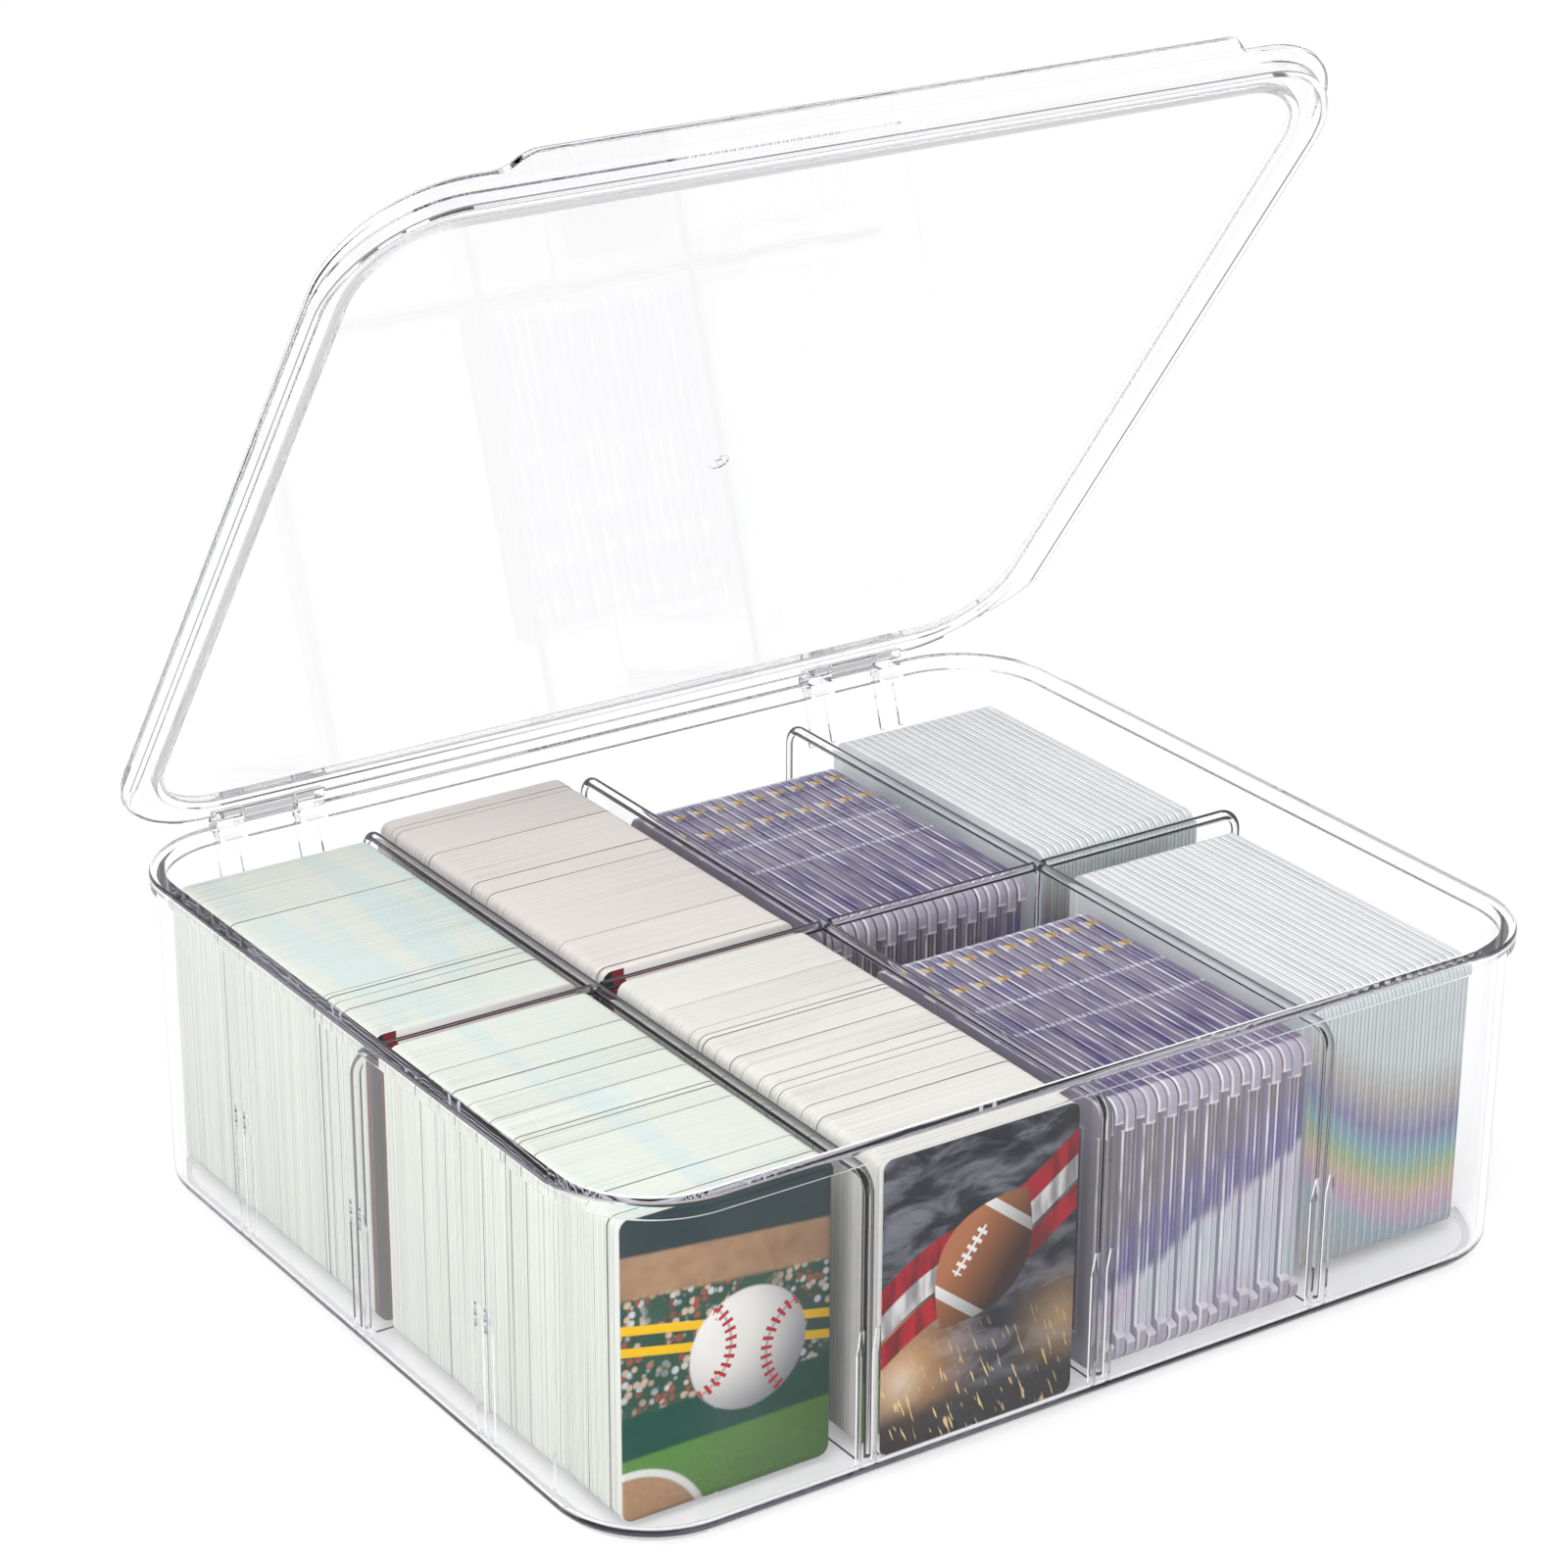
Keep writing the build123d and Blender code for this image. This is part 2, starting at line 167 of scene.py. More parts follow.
class CardSettings(PropertyGroup):
    pitch: length_property("Card pitch", "Distance from card to card in a packed stack", 0.00040)
    thickness: length_property("Card thickness", "Thickness of one bare card", 0.00037)
    corner_radius: length_property("Corner radius", "Radius of a card's corners", 0.0032)
    corner_steps: IntProperty(name="Corner steps", description="Facets in a card's corner", default=4, min=1)
    inked: IntProperty(name="Inked cards", description="Dark prints at a rear stack's end", default=7, min=0)
    gap_share: share_property("Gap share", "Share of cards with a gap before them", 0.028)
    side_play: length_property("Side play", "How far a card may stand out of its stack", 0.00024)
    left_edge: colour_property("Left edges", "Card edges in the left column", (0.86, 0.90, 0.82))
    left_band: colour_property("Left bands", "Bands across those edges", (0.73, 0.87, 0.86))
    mid_rear_edge: colour_property("Middle rear edges", "Card edges in that stack", (0.86, 0.81, 0.78))
    mid_front_edge: colour_property("Middle front edges", "Card edges in that stack", (0.87, 0.86, 0.81))


class CaseSettings(PropertyGroup):
    pitch: length_property("Case pitch", "Distance from case to case", 0.0073)
    half_thickness: length_property("Half thickness", "Thickness of a case's half", 0.0034)
    corner_radius: length_property("Corner radius", "Radius of a case's corners", 0.0045)
    edge_softness: length_property("Edge softness", "Width of a case's softened edges", 0.0005)
    base_tab: length_property("Base tab", "Height of the tabs at a base's ends", 0.0095)
    base_recess: length_property("Base recess", "Depth of a base's ends between its tabs", 0.0015)
    cover_tab: length_property("Cover tab", "Height of the tabs at a cover's ends", 0.0068)
    cover_recess: length_property("Cover recess", "Depth of a cover's ends between its tabs", 0.0024)
    magnets_at: FloatVectorProperty(
        name="Magnets at", description="Distances of the magnets from the rear end", default=(0.010, 0.026),
        size=2, unit="LENGTH",
    )
    # Pale marks painted on the cases' tops as reflections of inner pegs
    peg_reflections_at: FloatVectorProperty(
        name="Pegs at", description="Distances of the rows of pegs from the rear end", default=(0.040, 0.058),
        size=2, unit="LENGTH",
    )
    card_recess: length_property("Card recess", "Depth of the recess for the card", 0.00065)
    card_play: length_property("Card play", "How much larger the recess is than the card", 0.0006)
    print_violet: colour_property("Card violet", "Violet of the cards in the cases", (0.13, 0.105, 0.26))
    print_grey: colour_property("Card grey", "Grey of the cards in the cases", (0.27, 0.23, 0.33))
    gold: colour_property("Gold", "Colour of the magnets", (0.86, 0.60, 0.22))


class SleeveSettings(PropertyGroup):
    pitch: length_property("Sleeve pitch", "Distance from sleeve to sleeve", 0.00145)
    film: colour_property("Sleeve film", "Colour of the sleeves' film", (0.80, 0.82, 0.84))
    # Painted shade: the dark colour of the gaps between sleeves
    gap: colour_property("Sleeve gap", "Colour of the gaps between sleeves", (0.30, 0.31, 0.34))
    face: colour_property("Sleeve face", "Colour of the broad faces", (0.66, 0.71, 0.74))
    weld: length_property("Weld", "Distance of the welded line from a sleeve's edge", 0.0035)


class StageSettings(PropertyGroup):
    azimuth: angle_property("Azimuth", "Camera's turn from the front", 34.44)
    elevation: angle_property("Elevation", "Camera's height angle", 24.85)
    roll: angle_property("Roll", "Camera's roll", 0.48)
    target: FloatVectorProperty(
        name="Target", description="Point that the camera is aimed at", default=(-0.00376, 0.0, 0.08669),
        size=3, unit="LENGTH", precision=5,
    )
    distance: length_property("Distance", "From the camera to the target", 1.25578)
    lens: number_property("Lens", "Focal length on a 36 mm sensor", 99.93, min=1)
    shift_x: number_property("Shift X", "Framing shift sideways", -0.019)
    shift_y: number_property("Shift Y", "Framing shift upwards", 0.1003)
    world_light: number_property("World light", "Strength of the white surroundings", 0.9)
    ceiling: share_property("Ceiling", "Brightness of the ceiling in gloss", 0.10)
    panel: share_property("Panels", "Brightness of the ceiling's panels in gloss", 0.95)
    floor: colour_property("Floor", "Colour of the floor", (0.75, 0.75, 0.755))
    floor_half: length_property("Floor half", "Half the floor's side", 6.0)
    floor_glow: share_property("Floor glow", "White that the camera sees in the floor", 0.30)
    key_power: number_property("Key power", "Power of the soft light overhead, in watts", 8.0)
    side_power: number_property("Side power", "Power of the soft light at the left, in watts", 9.0)


class CardBoxSettings(PropertyGroup):
    plastic: PointerProperty(type=ClearPlasticSettings)
    cards: PointerProperty(type=CardSettings)
    cases: PointerProperty(type=CaseSettings)
    sleeves: PointerProperty(type=SleeveSettings)
    stage: PointerProperty(type=StageSettings)


# Meshes

def mesh_from_arrays(name, points, polygons):
    """A mesh from an (n, 3) array of points and a list of (m, k) arrays of point numbers."""
    mesh = bpy.data.meshes.new(name)
    loops = np.concatenate([p.ravel() for p in polygons]).astype(np.int32)
    totals = np.concatenate([np.full(len(p), p.shape[1]) for p in polygons]).astype(np.int32)
    starts = np.concatenate([[0], np.cumsum(totals)[:-1]]).astype(np.int32)
    mesh.vertices.add(len(points))
    mesh.vertices.foreach_set("co", np.asarray(points, np.float32).ravel())
    mesh.loops.add(len(loops))
    mesh.loops.foreach_set("vertex_index", loops)
    mesh.polygons.add(len(totals))
    mesh.polygons.foreach_set("loop_start", starts)
    mesh.update(calc_edges=True)
    return mesh


def mesh_points(mesh):
    """A mesh's points as an (n, 3) array."""
    points = np.zeros(len(mesh.vertices) * 3, np.float32)
    mesh.vertices.foreach_get("co", points)
    return points.reshape(-1, 3)


def add_piece(mesh, body, materials, replaced):
    """Links a finished mesh as a piece that rides on a body and stands for CAD nodes."""
    piece = bpy.data.objects.new(mesh.name, mesh)
    bpy.context.scene.collection.objects.link(piece)
    for material in materials:
        mesh.materials.append(material)
    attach(piece, body)
    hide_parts(*replaced)


def rounded_rectangle(width, height, radius, steps):
    """Points round a rectangle with arcs at its corners, counter-clockwise from the lower right
    corner: each corner's centre plus the radius times the cosine and sine of the turning angle."""
    turn = np.linspace(0, math.pi / 2, steps + 1)
    angles = np.concatenate([turn + quarter * math.pi / 2 for quarter in (-1, 0, 1, 2)])
    side = np.repeat([1, 1, -1, -1], steps + 1)
    level = np.repeat([-1, 1, 1, -1], steps + 1)
    x = side * (width / 2 - radius) + radius * np.cos(angles)
    z = level * (height / 2 - radius) + radius * np.sin(angles)
    return np.stack([x, z], 1)


def inset(outline, distance):
    """A closed outline moved inwards. Each point goes along the mean of its two edges' normals."""
    before = np.roll(outline, 1, 0)
    after = np.roll(outline, -1, 0)
    first = (outline - before) / np.linalg.norm(outline - before, axis=1, keepdims=True)
    second = (after - outline) / np.linalg.norm(after - outline, axis=1, keepdims=True)
    left_first = np.stack([-first[:, 1], first[:, 0]], 1)
    left_second = np.stack([-second[:, 1], second[:, 0]], 1)
    middle = left_first + left_second
    middle /= (1 + (first * second).sum(1))[:, None]
    return outline + middle * distance


def ringed_solids(name, rings, places):
    """Closed solids from a stack of rings: (r, k, 3) points, ring after ring from one end to the other,
    with flat ends, repeated at each place of an (n, 3) array."""
    number, corners = rings.shape[:2]
    copies = len(places)
    points = rings[None] + np.asarray(places)[:, None, None, :]
    index = np.arange(copies * number * corners).reshape(copies, number, corners)
    turned = np.roll(index, -1, 2)
    sides = np.stack([index[:, :-1], turned[:, :-1], turned[:, 1:], index[:, 1:]], -1).reshape(-1, 4)
    mesh = mesh_from_arrays(name, points.reshape(-1, 3), [sides, index[:, 0, ::-1], index[:, -1]])
    mesh.shade_smooth()
    mesh.set_sharp_from_angle(angle=math.radians(35))
    return mesh


def card_mesh(name, outline, front, thickness, shift, turn, lift):
    """Upright cards from one outline in the XZ plane. Card i starts at front[i] along Y, and its outline
    is turned by turn[i] about Y and moved by shift[i] along X and lift[i] along Z."""
    count = len(front)
    corners = len(outline)
    cos = np.cos(turn)[:, None]
    sin = np.sin(turn)[:, None]
    x = outline[None, :, 0] * cos - outline[None, :, 1] * sin + shift[:, None]
    z = outline[None, :, 0] * sin + outline[None, :, 1] * cos + lift[:, None]
    points = np.zeros((count, 2, corners, 3))
    points[..., 0] = x[:, None, :]
    points[..., 2] = z[:, None, :]
    points[:, 0, :, 1] = front[:, None]
    points[:, 1, :, 1] = (front + thickness)[:, None]
    base = (np.arange(count) * 2 * corners)[:, None]
    here = np.arange(corners)[None, :]
    after = (here + 1) % corners
    sides = np.stack([base + here, base + corners + here, base + corners + after, base + after], 2)
    fronts = base + here
    backs = base + corners + here[:, ::-1]
    return mesh_from_arrays(name, points.reshape(-1, 3), [sides.reshape(-1, 4), fronts, backs])


# Materials

class Field:
    """A number that varies over a surface. Sums and products of fields become nodes."""

    def __init__(self, tree, socket):
        self.tree = tree
        self.socket = socket

    def math(self, operation, *others, clamp=False):
        """A math node on this field and on other fields or numbers."""
        node = self.tree.nodes.new("ShaderNodeMath")
        node.operation = operation
        node.use_clamp = clamp
        self.tree.links.new(self.socket, node.inputs[0])
        for place, other in enumerate(others, 1):
            if isinstance(other, Field):
                self.tree.links.new(other.socket, node.inputs[place])
            else:
                node.inputs[place].default_value = other
        return Field(self.tree, node.outputs[0])

    def __add__(self, other):
        return self.math("ADD", other)

    def __sub__(self, other):
        return self.math("SUBTRACT", other)

    def __mul__(self, other):
        return self.math("MULTIPLY", other)

    def __truediv__(self, other):
        return self.math("DIVIDE", other)

    def __neg__(self):
        return self.math("MULTIPLY", -1.0)

    def abs(self):
        return self.math("ABSOLUTE")

    def clamped(self):
        """Kept between 0 and 1."""
        return self.math("ADD", 0.0, clamp=True)

    def smoothly(self, low, high, before=0.0, after=1.0):
        """One result below low, another above high and a smooth curve between."""
        node = self.tree.nodes.new("ShaderNodeMapRange")
        node.interpolation_type = "SMOOTHSTEP"
        for place, value in (("From Min", low), ("From Max", high), ("To Min", before), ("To Max", after)):
            node.inputs[place].default_value = value
        self.tree.links.new(self.socket, node.inputs["Value"])
        return Field(self.tree, node.outputs["Result"])

    def below(self, low, high):
        """1 below low, 0 above high and a smooth curve between."""
        return (-self).smoothly(-high, -low)

    def near(self, place, core, edge):
        """1 within core of a place, 0 further than edge from it and a smooth curve between."""
        return (self - place).abs().below(core, edge)


class Paint:
    """A material's node tree, with short calls for the nodes that the finishes share."""

    def __init__(self, name):
        self.material = bpy.data.materials.new(name)
        self.material.use_nodes = True
        self.tree = self.material.node_tree
        self.shader = self.tree.nodes["Principled BSDF"]
        self.output = self.tree.nodes["Material Output"]

    def node(self, kind, **inputs):
        """A new node with some inputs set."""
        made = self.tree.nodes.new(kind)
        for name, value in inputs.items():
            made.inputs[name.replace("_", " ")].default_value = value
        return made

    def set(self, **inputs):
        """Sets the shader's own sockets."""
        for name, value in inputs.items():
            self.shader.inputs[name.replace("_", " ")].default_value = value

    def link(self, output, name):
        self.tree.links.new(output.socket if isinstance(output, Field) else output, self.shader.inputs[name])

    def position(self):
        """The point on the piece in metres, as a vector output."""
        return self.node("ShaderNodeTexCoord").outputs["Object"]

    def parts(self, vector):
        """The three numbers of a vector."""
        split = self.node("ShaderNodeSeparateXYZ")
        self.tree.links.new(vector, split.inputs[0])
        return [Field(self.tree, out) for out in split.outputs]

    def vector(self, x, y, z):
        joined = self.node("ShaderNodeCombineXYZ")
        for place, part in zip(joined.inputs, (x, y, z)):
            if isinstance(part, Field):
                self.tree.links.new(part.socket, place)
            else:
                place.default_value = part
        return joined.outputs[0]

    def scaled(self, vector, scale):
        """A vector stretched along each axis."""
        mapping = self.node("ShaderNodeMapping", Scale=scale)
        self.tree.links.new(vector, mapping.inputs["Vector"])
        return mapping.outputs[0]

    def noise(self, vector, scale, detail=2.0, roughness=0.5, distortion=0.0):
        made = self.node(
            "ShaderNodeTexNoise", Scale=scale, Detail=detail, Roughness=roughness, Distortion=distortion
        )
        self.tree.links.new(vector, made.inputs["Vector"])
        return Field(self.tree, made.outputs["Fac"])

    def cells(self, vector, scale, output="Distance"):
        """The distance to the nearest of many scattered dots, or that dot's own random colour."""
        made = self.node("ShaderNodeTexVoronoi", Scale=scale)
        self.tree.links.new(vector, made.inputs["Vector"])
        return made.outputs[output]

    def facing(self):
        """0 where a face looks at the viewer, 1 where it is seen edge on."""
        return Field(self.tree, self.node("ShaderNodeLayerWeight", Blend=0.5).outputs["Facing"])

    def along(self, vector, direction):
        """How far a vector goes along a fixed direction."""
        product = self.node("ShaderNodeVectorMath")
        product.operation = "DOT_PRODUCT"
        self.tree.links.new(vector, product.inputs[0])
        product.inputs[1].default_value = direction
        return Field(self.tree, product.outputs["Value"])

    def looks_along(self, direction):
        """1 on a face that looks straight along a direction, either way, and 0 on one square to it."""
        return self.along(self.node("ShaderNodeTexCoord").outputs["Normal"], direction).abs()

    def on_broad_face(self):
        """1 on the broad faces of the cases and sleeves, which look along the row."""
        return self.looks_along((1, 0, 0)).smoothly(0.85, 0.95)

    def attribute(self, name):
        """A number that the mesh carries."""
        made = self.node("ShaderNodeAttribute")
        made.attribute_name = name
        return Field(self.tree, made.outputs["Fac"])

    def mix(self, share, first, second):
        """A colour between two, by a field or a fixed share. A colour is an output or three numbers."""
        made = self.node("ShaderNodeMix")
        made.data_type = "RGBA"
        inputs = [made.inputs[0], made.inputs[6], made.inputs[7]]
        for place, value in zip(inputs, (share, first, second)):
            if isinstance(value, Field):
                self.tree.links.new(value.socket, place)
            elif isinstance(value, bpy.types.NodeSocket):
                self.tree.links.new(value, place)
            elif place is inputs[0]:
                place.default_value = value
            else:
                place.default_value = (*value, 1)
        return made.outputs[2]

    def bump(self, height, distance, strength=1.0):
        made = self.node("ShaderNodeBump", Distance=distance, Strength=strength)
        self.tree.links.new(height.socket, made.inputs["Height"])
        self.tree.links.new(made.outputs[0], self.shader.inputs["Normal"])

    def lets_light_through(self):
        """Lets the lamps' light pass straight through, which clear plastic does and refraction alone
        would leave to chance."""
        path = self.node("ShaderNodeLightPath")
        clear = self.node("ShaderNodeBsdfTransparent")
        both = self.node("ShaderNodeMixShader")
        self.tree.links.new(path.outputs["Is Shadow Ray"], both.inputs[0])
        self.tree.links.new(self.shader.outputs[0], both.inputs[1])
        self.tree.links.new(clear.outputs[0], both.inputs[2])
        self.tree.links.new(both.outputs[0], self.output.inputs["Surface"])

    def absorb(self, colour, density):
        """Takes light on its way inside the piece, apart from a colour."""
        made = self.node("ShaderNodeVolumeAbsorption", Color=(*colour, 1), Density=density)
        self.tree.links.new(made.outputs[0], self.output.inputs["Volume"])


def clear_plastic(
    name, plastic, density=1.0, gloss=1.0, edge=BIN_EDGE, where_edges=None, more_lines=None
):
    """Polished clear plastic: refraction, slight waves from moulding, absorption inside, and painted shade:
    dark lines painted where its rounded edges turn away from sight. The lines can be kept to a field's
    places, and a part can have more painted lines of its own."""
    paint = Paint(name)
    shine = plastic.gloss * gloss
    paint.set(IOR=plastic.ior, Specular_Tint=(shine, shine, shine, 1))
    where = paint.position()
    turned_away = paint.facing().smoothly(*edge)
    if where_edges:
        turned_away = turned_away * where_edges(*paint.parts(where))
    if more_lines:
        turned_away = turned_away.math("MAXIMUM", more_lines(paint, where))
    # Painted shade: dark lines where faces turn edge on, less clear there
    paint.link(paint.mix(turned_away, plastic.clear, plastic.edge_shade), "Base Color")
    paint.link(turned_away * -plastic.edge_shade_depth + 1.0, "Transmission Weight")
    paint.lets_light_through()
    flow = paint.noise(where, 35.0, 2.0)
    haze = paint.noise(where, 420.0, 3.0)
    paint.link(haze * plastic.roughness + plastic.roughness * 0.2, "Roughness")
    paint.bump(flow, plastic.wave_height)
    paint.absorb(plastic.absorbed_tint, plastic.absorption * density)
    return paint.material


def outside(first, second, low, high):
    """How far a point lies outside an upright rectangle between two corners, as the larger of its
    distances past the two pairs of sides. It is below 0 inside."""
    one = (first - (low[0] + high[0]) / 2).abs() - (high[0] - low[0]) / 2
    other = (second - (low[1] + high[1]) / 2).abs() - (high[1] - low[1]) / 2
    return one.math("MAXIMUM", other)


def darker(colour, share):
    """A colour at a share of its brightness."""
    return tuple(part * share for part in colour)


def card_edges(name, colour, band=None, box=None):
    """Card edges: paper with fibre, and a tone of its own on each card. A band colour adds faint stripes
    along the stack's top, where the cards' prints end at their edges. Inked cards, which stand at a
    stack's end, have dark red edges below their top."""
    paint = Paint(name)
    where = paint.position()
    x, y, z = paint.parts(where)
    base = colour
    if band is not None:
        left = box[0].x
        stripes = paint.noise(paint.vector(x, y * 0.12, 0.0), 60.0, 1.0).smoothly(0.46, 0.56)
        on_top = x.smoothly(left + 0.003, left + 0.009)
        base = paint.mix(stripes * on_top, colour, band)
    base = paint.mix(paint.attribute("tone"), darker(colour, 0.88), base)
    base = paint.mix(paint.attribute("ink") * z.below(0.085, 0.089), base, (0.13, 0.02, 0.02))
    paint.link(base, "Base Color")
    fibre = paint.noise(where, 1500.0, 2.0)
    paint.link(fibre * 0.15 + 0.55, "Roughness")
    paint.bump(fibre, 0.00004)
    return paint.material


def card_faces(name, low, high):
    """The faces that show between the cards: grey, as the light hardly gets there. A stack's end cards
    show a pale back with a framed lattice. An inked card is pale, with a dark red border and a black
    margin along its left side and a red rule near its top. The lines' places are in metres."""
    paint = Paint(name)
    x, y, z = paint.parts(paint.position())
    out = outside(x, z, low.xz, high.xz)
    lattice = ((x + z) * 1400.0).math("SINE") * ((x - z) * 1400.0).math("SINE")
    back = paint.mix(lattice.abs().smoothly(0.15, 0.30), (0.74, 0.78, 0.80), (0.50, 0.60, 0.66))
    for frame_part in (out.near(-0.0062, 0.0003, 0.0005), out.smoothly(-0.0047, -0.0045)):
        back = paint.mix(frame_part, back, (0.84, 0.84, 0.82))
    rule = z.near(0.0875, 0.0006, 0.0009)
    border = x.below(low.x + 0.0072, low.x + 0.0075)
    margin = x.below(low.x + 0.0031, low.x + 0.0034)
    inked = paint.mix((rule + border).clamped(), (0.70, 0.68, 0.66), (0.15, 0.015, 0.02))
    inked = paint.mix(margin, inked, (0.012, 0.012, 0.015))
    shown = paint.mix(paint.attribute("end"), (0.22, 0.22, 0.21), back)
    paint.link(paint.mix(paint.attribute("ink"), shown, inked), "Base Color")
    paint.set(Roughness=0.3, Specular_IOR_Level=0.1)
    return paint.material


def magnet_gold(colour):
    """Gold-plated steel with fine scratches."""
    paint = Paint("gold_plating")
    scratches = paint.noise(paint.scaled(paint.position(), (1.0, 1.0, 9.0)), 900.0, 3.0)
    paint.set(Base_Color=(*colour, 1), Metallic=1.0)
    paint.link(scratches * 0.25 + 0.12, "Roughness")
    paint.bump(scratches, 0.00003)
    return paint.material


def case_end(paint, x, z, low, high, across, on_cover, bright):
    """The cases' front and rear ends: grey over a slanting violet band of painted reflection over lavender,
    with a faint painted highlight and a dark line on each half, and clearer tabs with a pale painted
    highlight outline at the top and the bottom."""
    where = paint.position()
    level = (z - low.z) / (high.z - low.z)
    climb = level - (x - low.x) * 5.0 + (paint.noise(where, 60.0, 2.0) - 0.5) * 0.22 + 0.04
    blush = paint.noise(where, 38.0, 1.0)
    end = paint.mix(blush.smoothly(0.40, 0.52), (0.80, 0.90, 0.94), (0.84, 0.84, 0.95))
    end = paint.mix(blush.smoothly(0.54, 0.66), end, (0.86, 0.70, 0.90))
    # Painted reflection: the slanting violet band
    end = paint.mix(climb.smoothly(0.27, 0.33), end, (0.16, 0.14, 0.40))
    end = paint.mix(climb.smoothly(0.40, 0.58), end, (0.25, 0.21, 0.235))
    # Painted highlight: a faint pale line on each half
    end = paint.mix(across.near(*CASE_FAINT_HIGHLIGHT_LINE) * bright * 0.7, end, (0.68, 0.65, 0.72))
    end = paint.mix(across.near(*CASE_FINE_LINE) * 0.8, end, (0.09, 0.07, 0.10))
    above_tab = (level - 0.5).abs() - CASE_TAB_LEVEL - on_cover * CASE_COVER_TAB_LESS
    end = paint.mix(above_tab.smoothly(-0.004, 0.004), end, (0.55, 0.51, 0.60))
    # Painted highlight: the pale outline of the tabs
    return paint.mix(above_tab.near(0.0, 0.007, 0.012), end, CASE_HIGHLIGHT)


def case_plastic(name, cases, plastic, low, high, card_low, card_high):
    """Clear slabs over foil cards. Each half shows a painted highlight line along its faces and painted shade
    in the gap after it. Their tops have violet patches, rows of pale marks painted as reflections of inner
    pegs, and gold patches over the magnets with a painted white glint beside each. The broad faces are
    pale round the card's print."""
    paint = Paint(name)
    where = paint.position()
    x, y, z = paint.parts(where)
    phase = ((x - low.x) / cases.pitch).math("FRACT")
    on_cover = phase.smoothly(0.465, 0.48)
    across = (phase * 2.0).math("FRACT")
    bright = paint.noise(paint.vector(x * 2.0, y * 0.3, z * 0.3), 130.0, 1.0).smoothly(0.35, 0.65)
    fading = paint.noise(paint.vector(x * 6.0, y, z), 55.0, 2.0).smoothly(0.30, 0.60) * 0.75 + 0.25
    # Painted highlight: a pale line along each half. Painted shade: dark in the gap to the next half
    pale = across.near(*CASE_HIGHLIGHT_LINE) * fading
    dark = across.smoothly(*CASE_GAP_SHADE_FROM)
    slow = paint.noise(paint.vector(x * 3.0, y, z), 45.0, 2.0)
    body = paint.mix(slow.smoothly(0.38, 0.60), cases.print_violet, cases.print_grey)
    # Painted highlight: a faint pale line on each half's body
    body = paint.mix(across.near(*CASE_FAINT_HIGHLIGHT_LINE) * bright * 0.5, body, (0.62, 0.60, 0.76))
    half_length = (high.y - low.y) / 2
    at_end = (y - (low.y + high.y) / 2).abs().smoothly(half_length - 0.0050, half_length - 0.0040)
    base = paint.mix(at_end, body, case_end(paint, x, z, low, high, across, on_cover, bright))
    from_rear = -y + high.y
    # Painted reflections: rows of pale marks that stand for inner pegs' reflections
    for place in cases.peg_reflections_at:
        peg = from_rear.near(place, 0.0007, 0.0011) * (across - 0.4).abs().smoothly(0.05, 0.2)
        base = paint.mix(peg * 0.8, base, (0.80, 0.80, 0.95))
    red = (((x - low.x) / cases.pitch).math("FLOOR") * 0.37).math("FRACT").smoothly(0.6, 0.62)
    line = paint.mix(bright, (0.42, 0.40, 0.54), (0.80, 0.79, 0.90))
    # Painted highlight on the pale lines, and painted shade in the gaps, dark red at the ends where a card's
    # edge shows
    base = paint.mix(pale, base, paint.mix(at_end * bright, line, CASE_HIGHLIGHT))
    base = paint.mix(dark, base, paint.mix(red * at_end, (0.04, 0.03, 0.06), (0.18, 0.03, 0.04)))
    for place in cases.magnets_at:
        # Painted highlight: a white glint beside each magnet
        glint = from_rear.near(place, 0.0020, 0.0030) * phase.near(0.10, 0.03, 0.07)
        magnet = from_rear.near(place, 0.0011, 0.0015) * phase.near(0.46, 0.26, 0.30)
        base = paint.mix(glint, base, (0.90, 0.90, 0.95))
        base = paint.mix(magnet, base, paint.mix(on_cover, cases.gold, darker(cases.gold, 0.55)))
    aside = outside(y, z, card_low.yz, card_high.yz)
    broad = paint.mix(aside.smoothly(-0.0002, 0.0002), body, (0.50, 0.47, 0.58))
    broad = paint.mix(aside.near(0.0, 0.0005, 0.0008), broad, (0.85, 0.84, 0.92))
    paint.link(paint.mix(paint.on_broad_face(), base, broad), "Base Color")
    paint.set(IOR=plastic.ior)
    solid = (pale + dark).clamped() * 0.25 + at_end * 0.15 + 0.55
    paint.link(-solid.clamped() + 1.0, "Transmission Weight")
    haze = paint.noise(where, 420.0, 3.0)
    paint.link(haze * 0.02 + 0.004, "Roughness")
    paint.lets_light_through()
    return paint.material


def case_print(cases):
    """The foil prints in the magnetic cases: violet and grey blotches with a sheen."""
    paint = Paint("violet_foil_print")
    where = paint.position()
    blotches = paint.noise(where, 70.0, 4.0, 0.6).smoothly(0.38, 0.62)
    stars = paint.noise(where, 260.0, 2.0).smoothly(0.62, 0.70)
    base = paint.mix(blotches, cases.print_violet, cases.print_grey)
    paint.link(paint.mix(stars, base, (0.75, 0.72, 0.85)), "Base Color")
    paint.set(Roughness=0.22, Metallic=0.2)
    return paint.material


def stress_rainbow(paint, level):
    """The stressed film's colours, by a height from 0 to 1."""
    sheen = paint.node("ShaderNodeValToRGB")
    elements = sheen.color_ramp.elements
    while len(elements) < len(SLEEVE_RAINBOW):
        elements.new(1.0)
    for element, (place, colour) in zip(elements, SLEEVE_RAINBOW):
        element.position = place
        element.color = (*colour, 1)
    paint.tree.links.new(level.socket, sheen.inputs[0])
    return sheen.outputs[0]


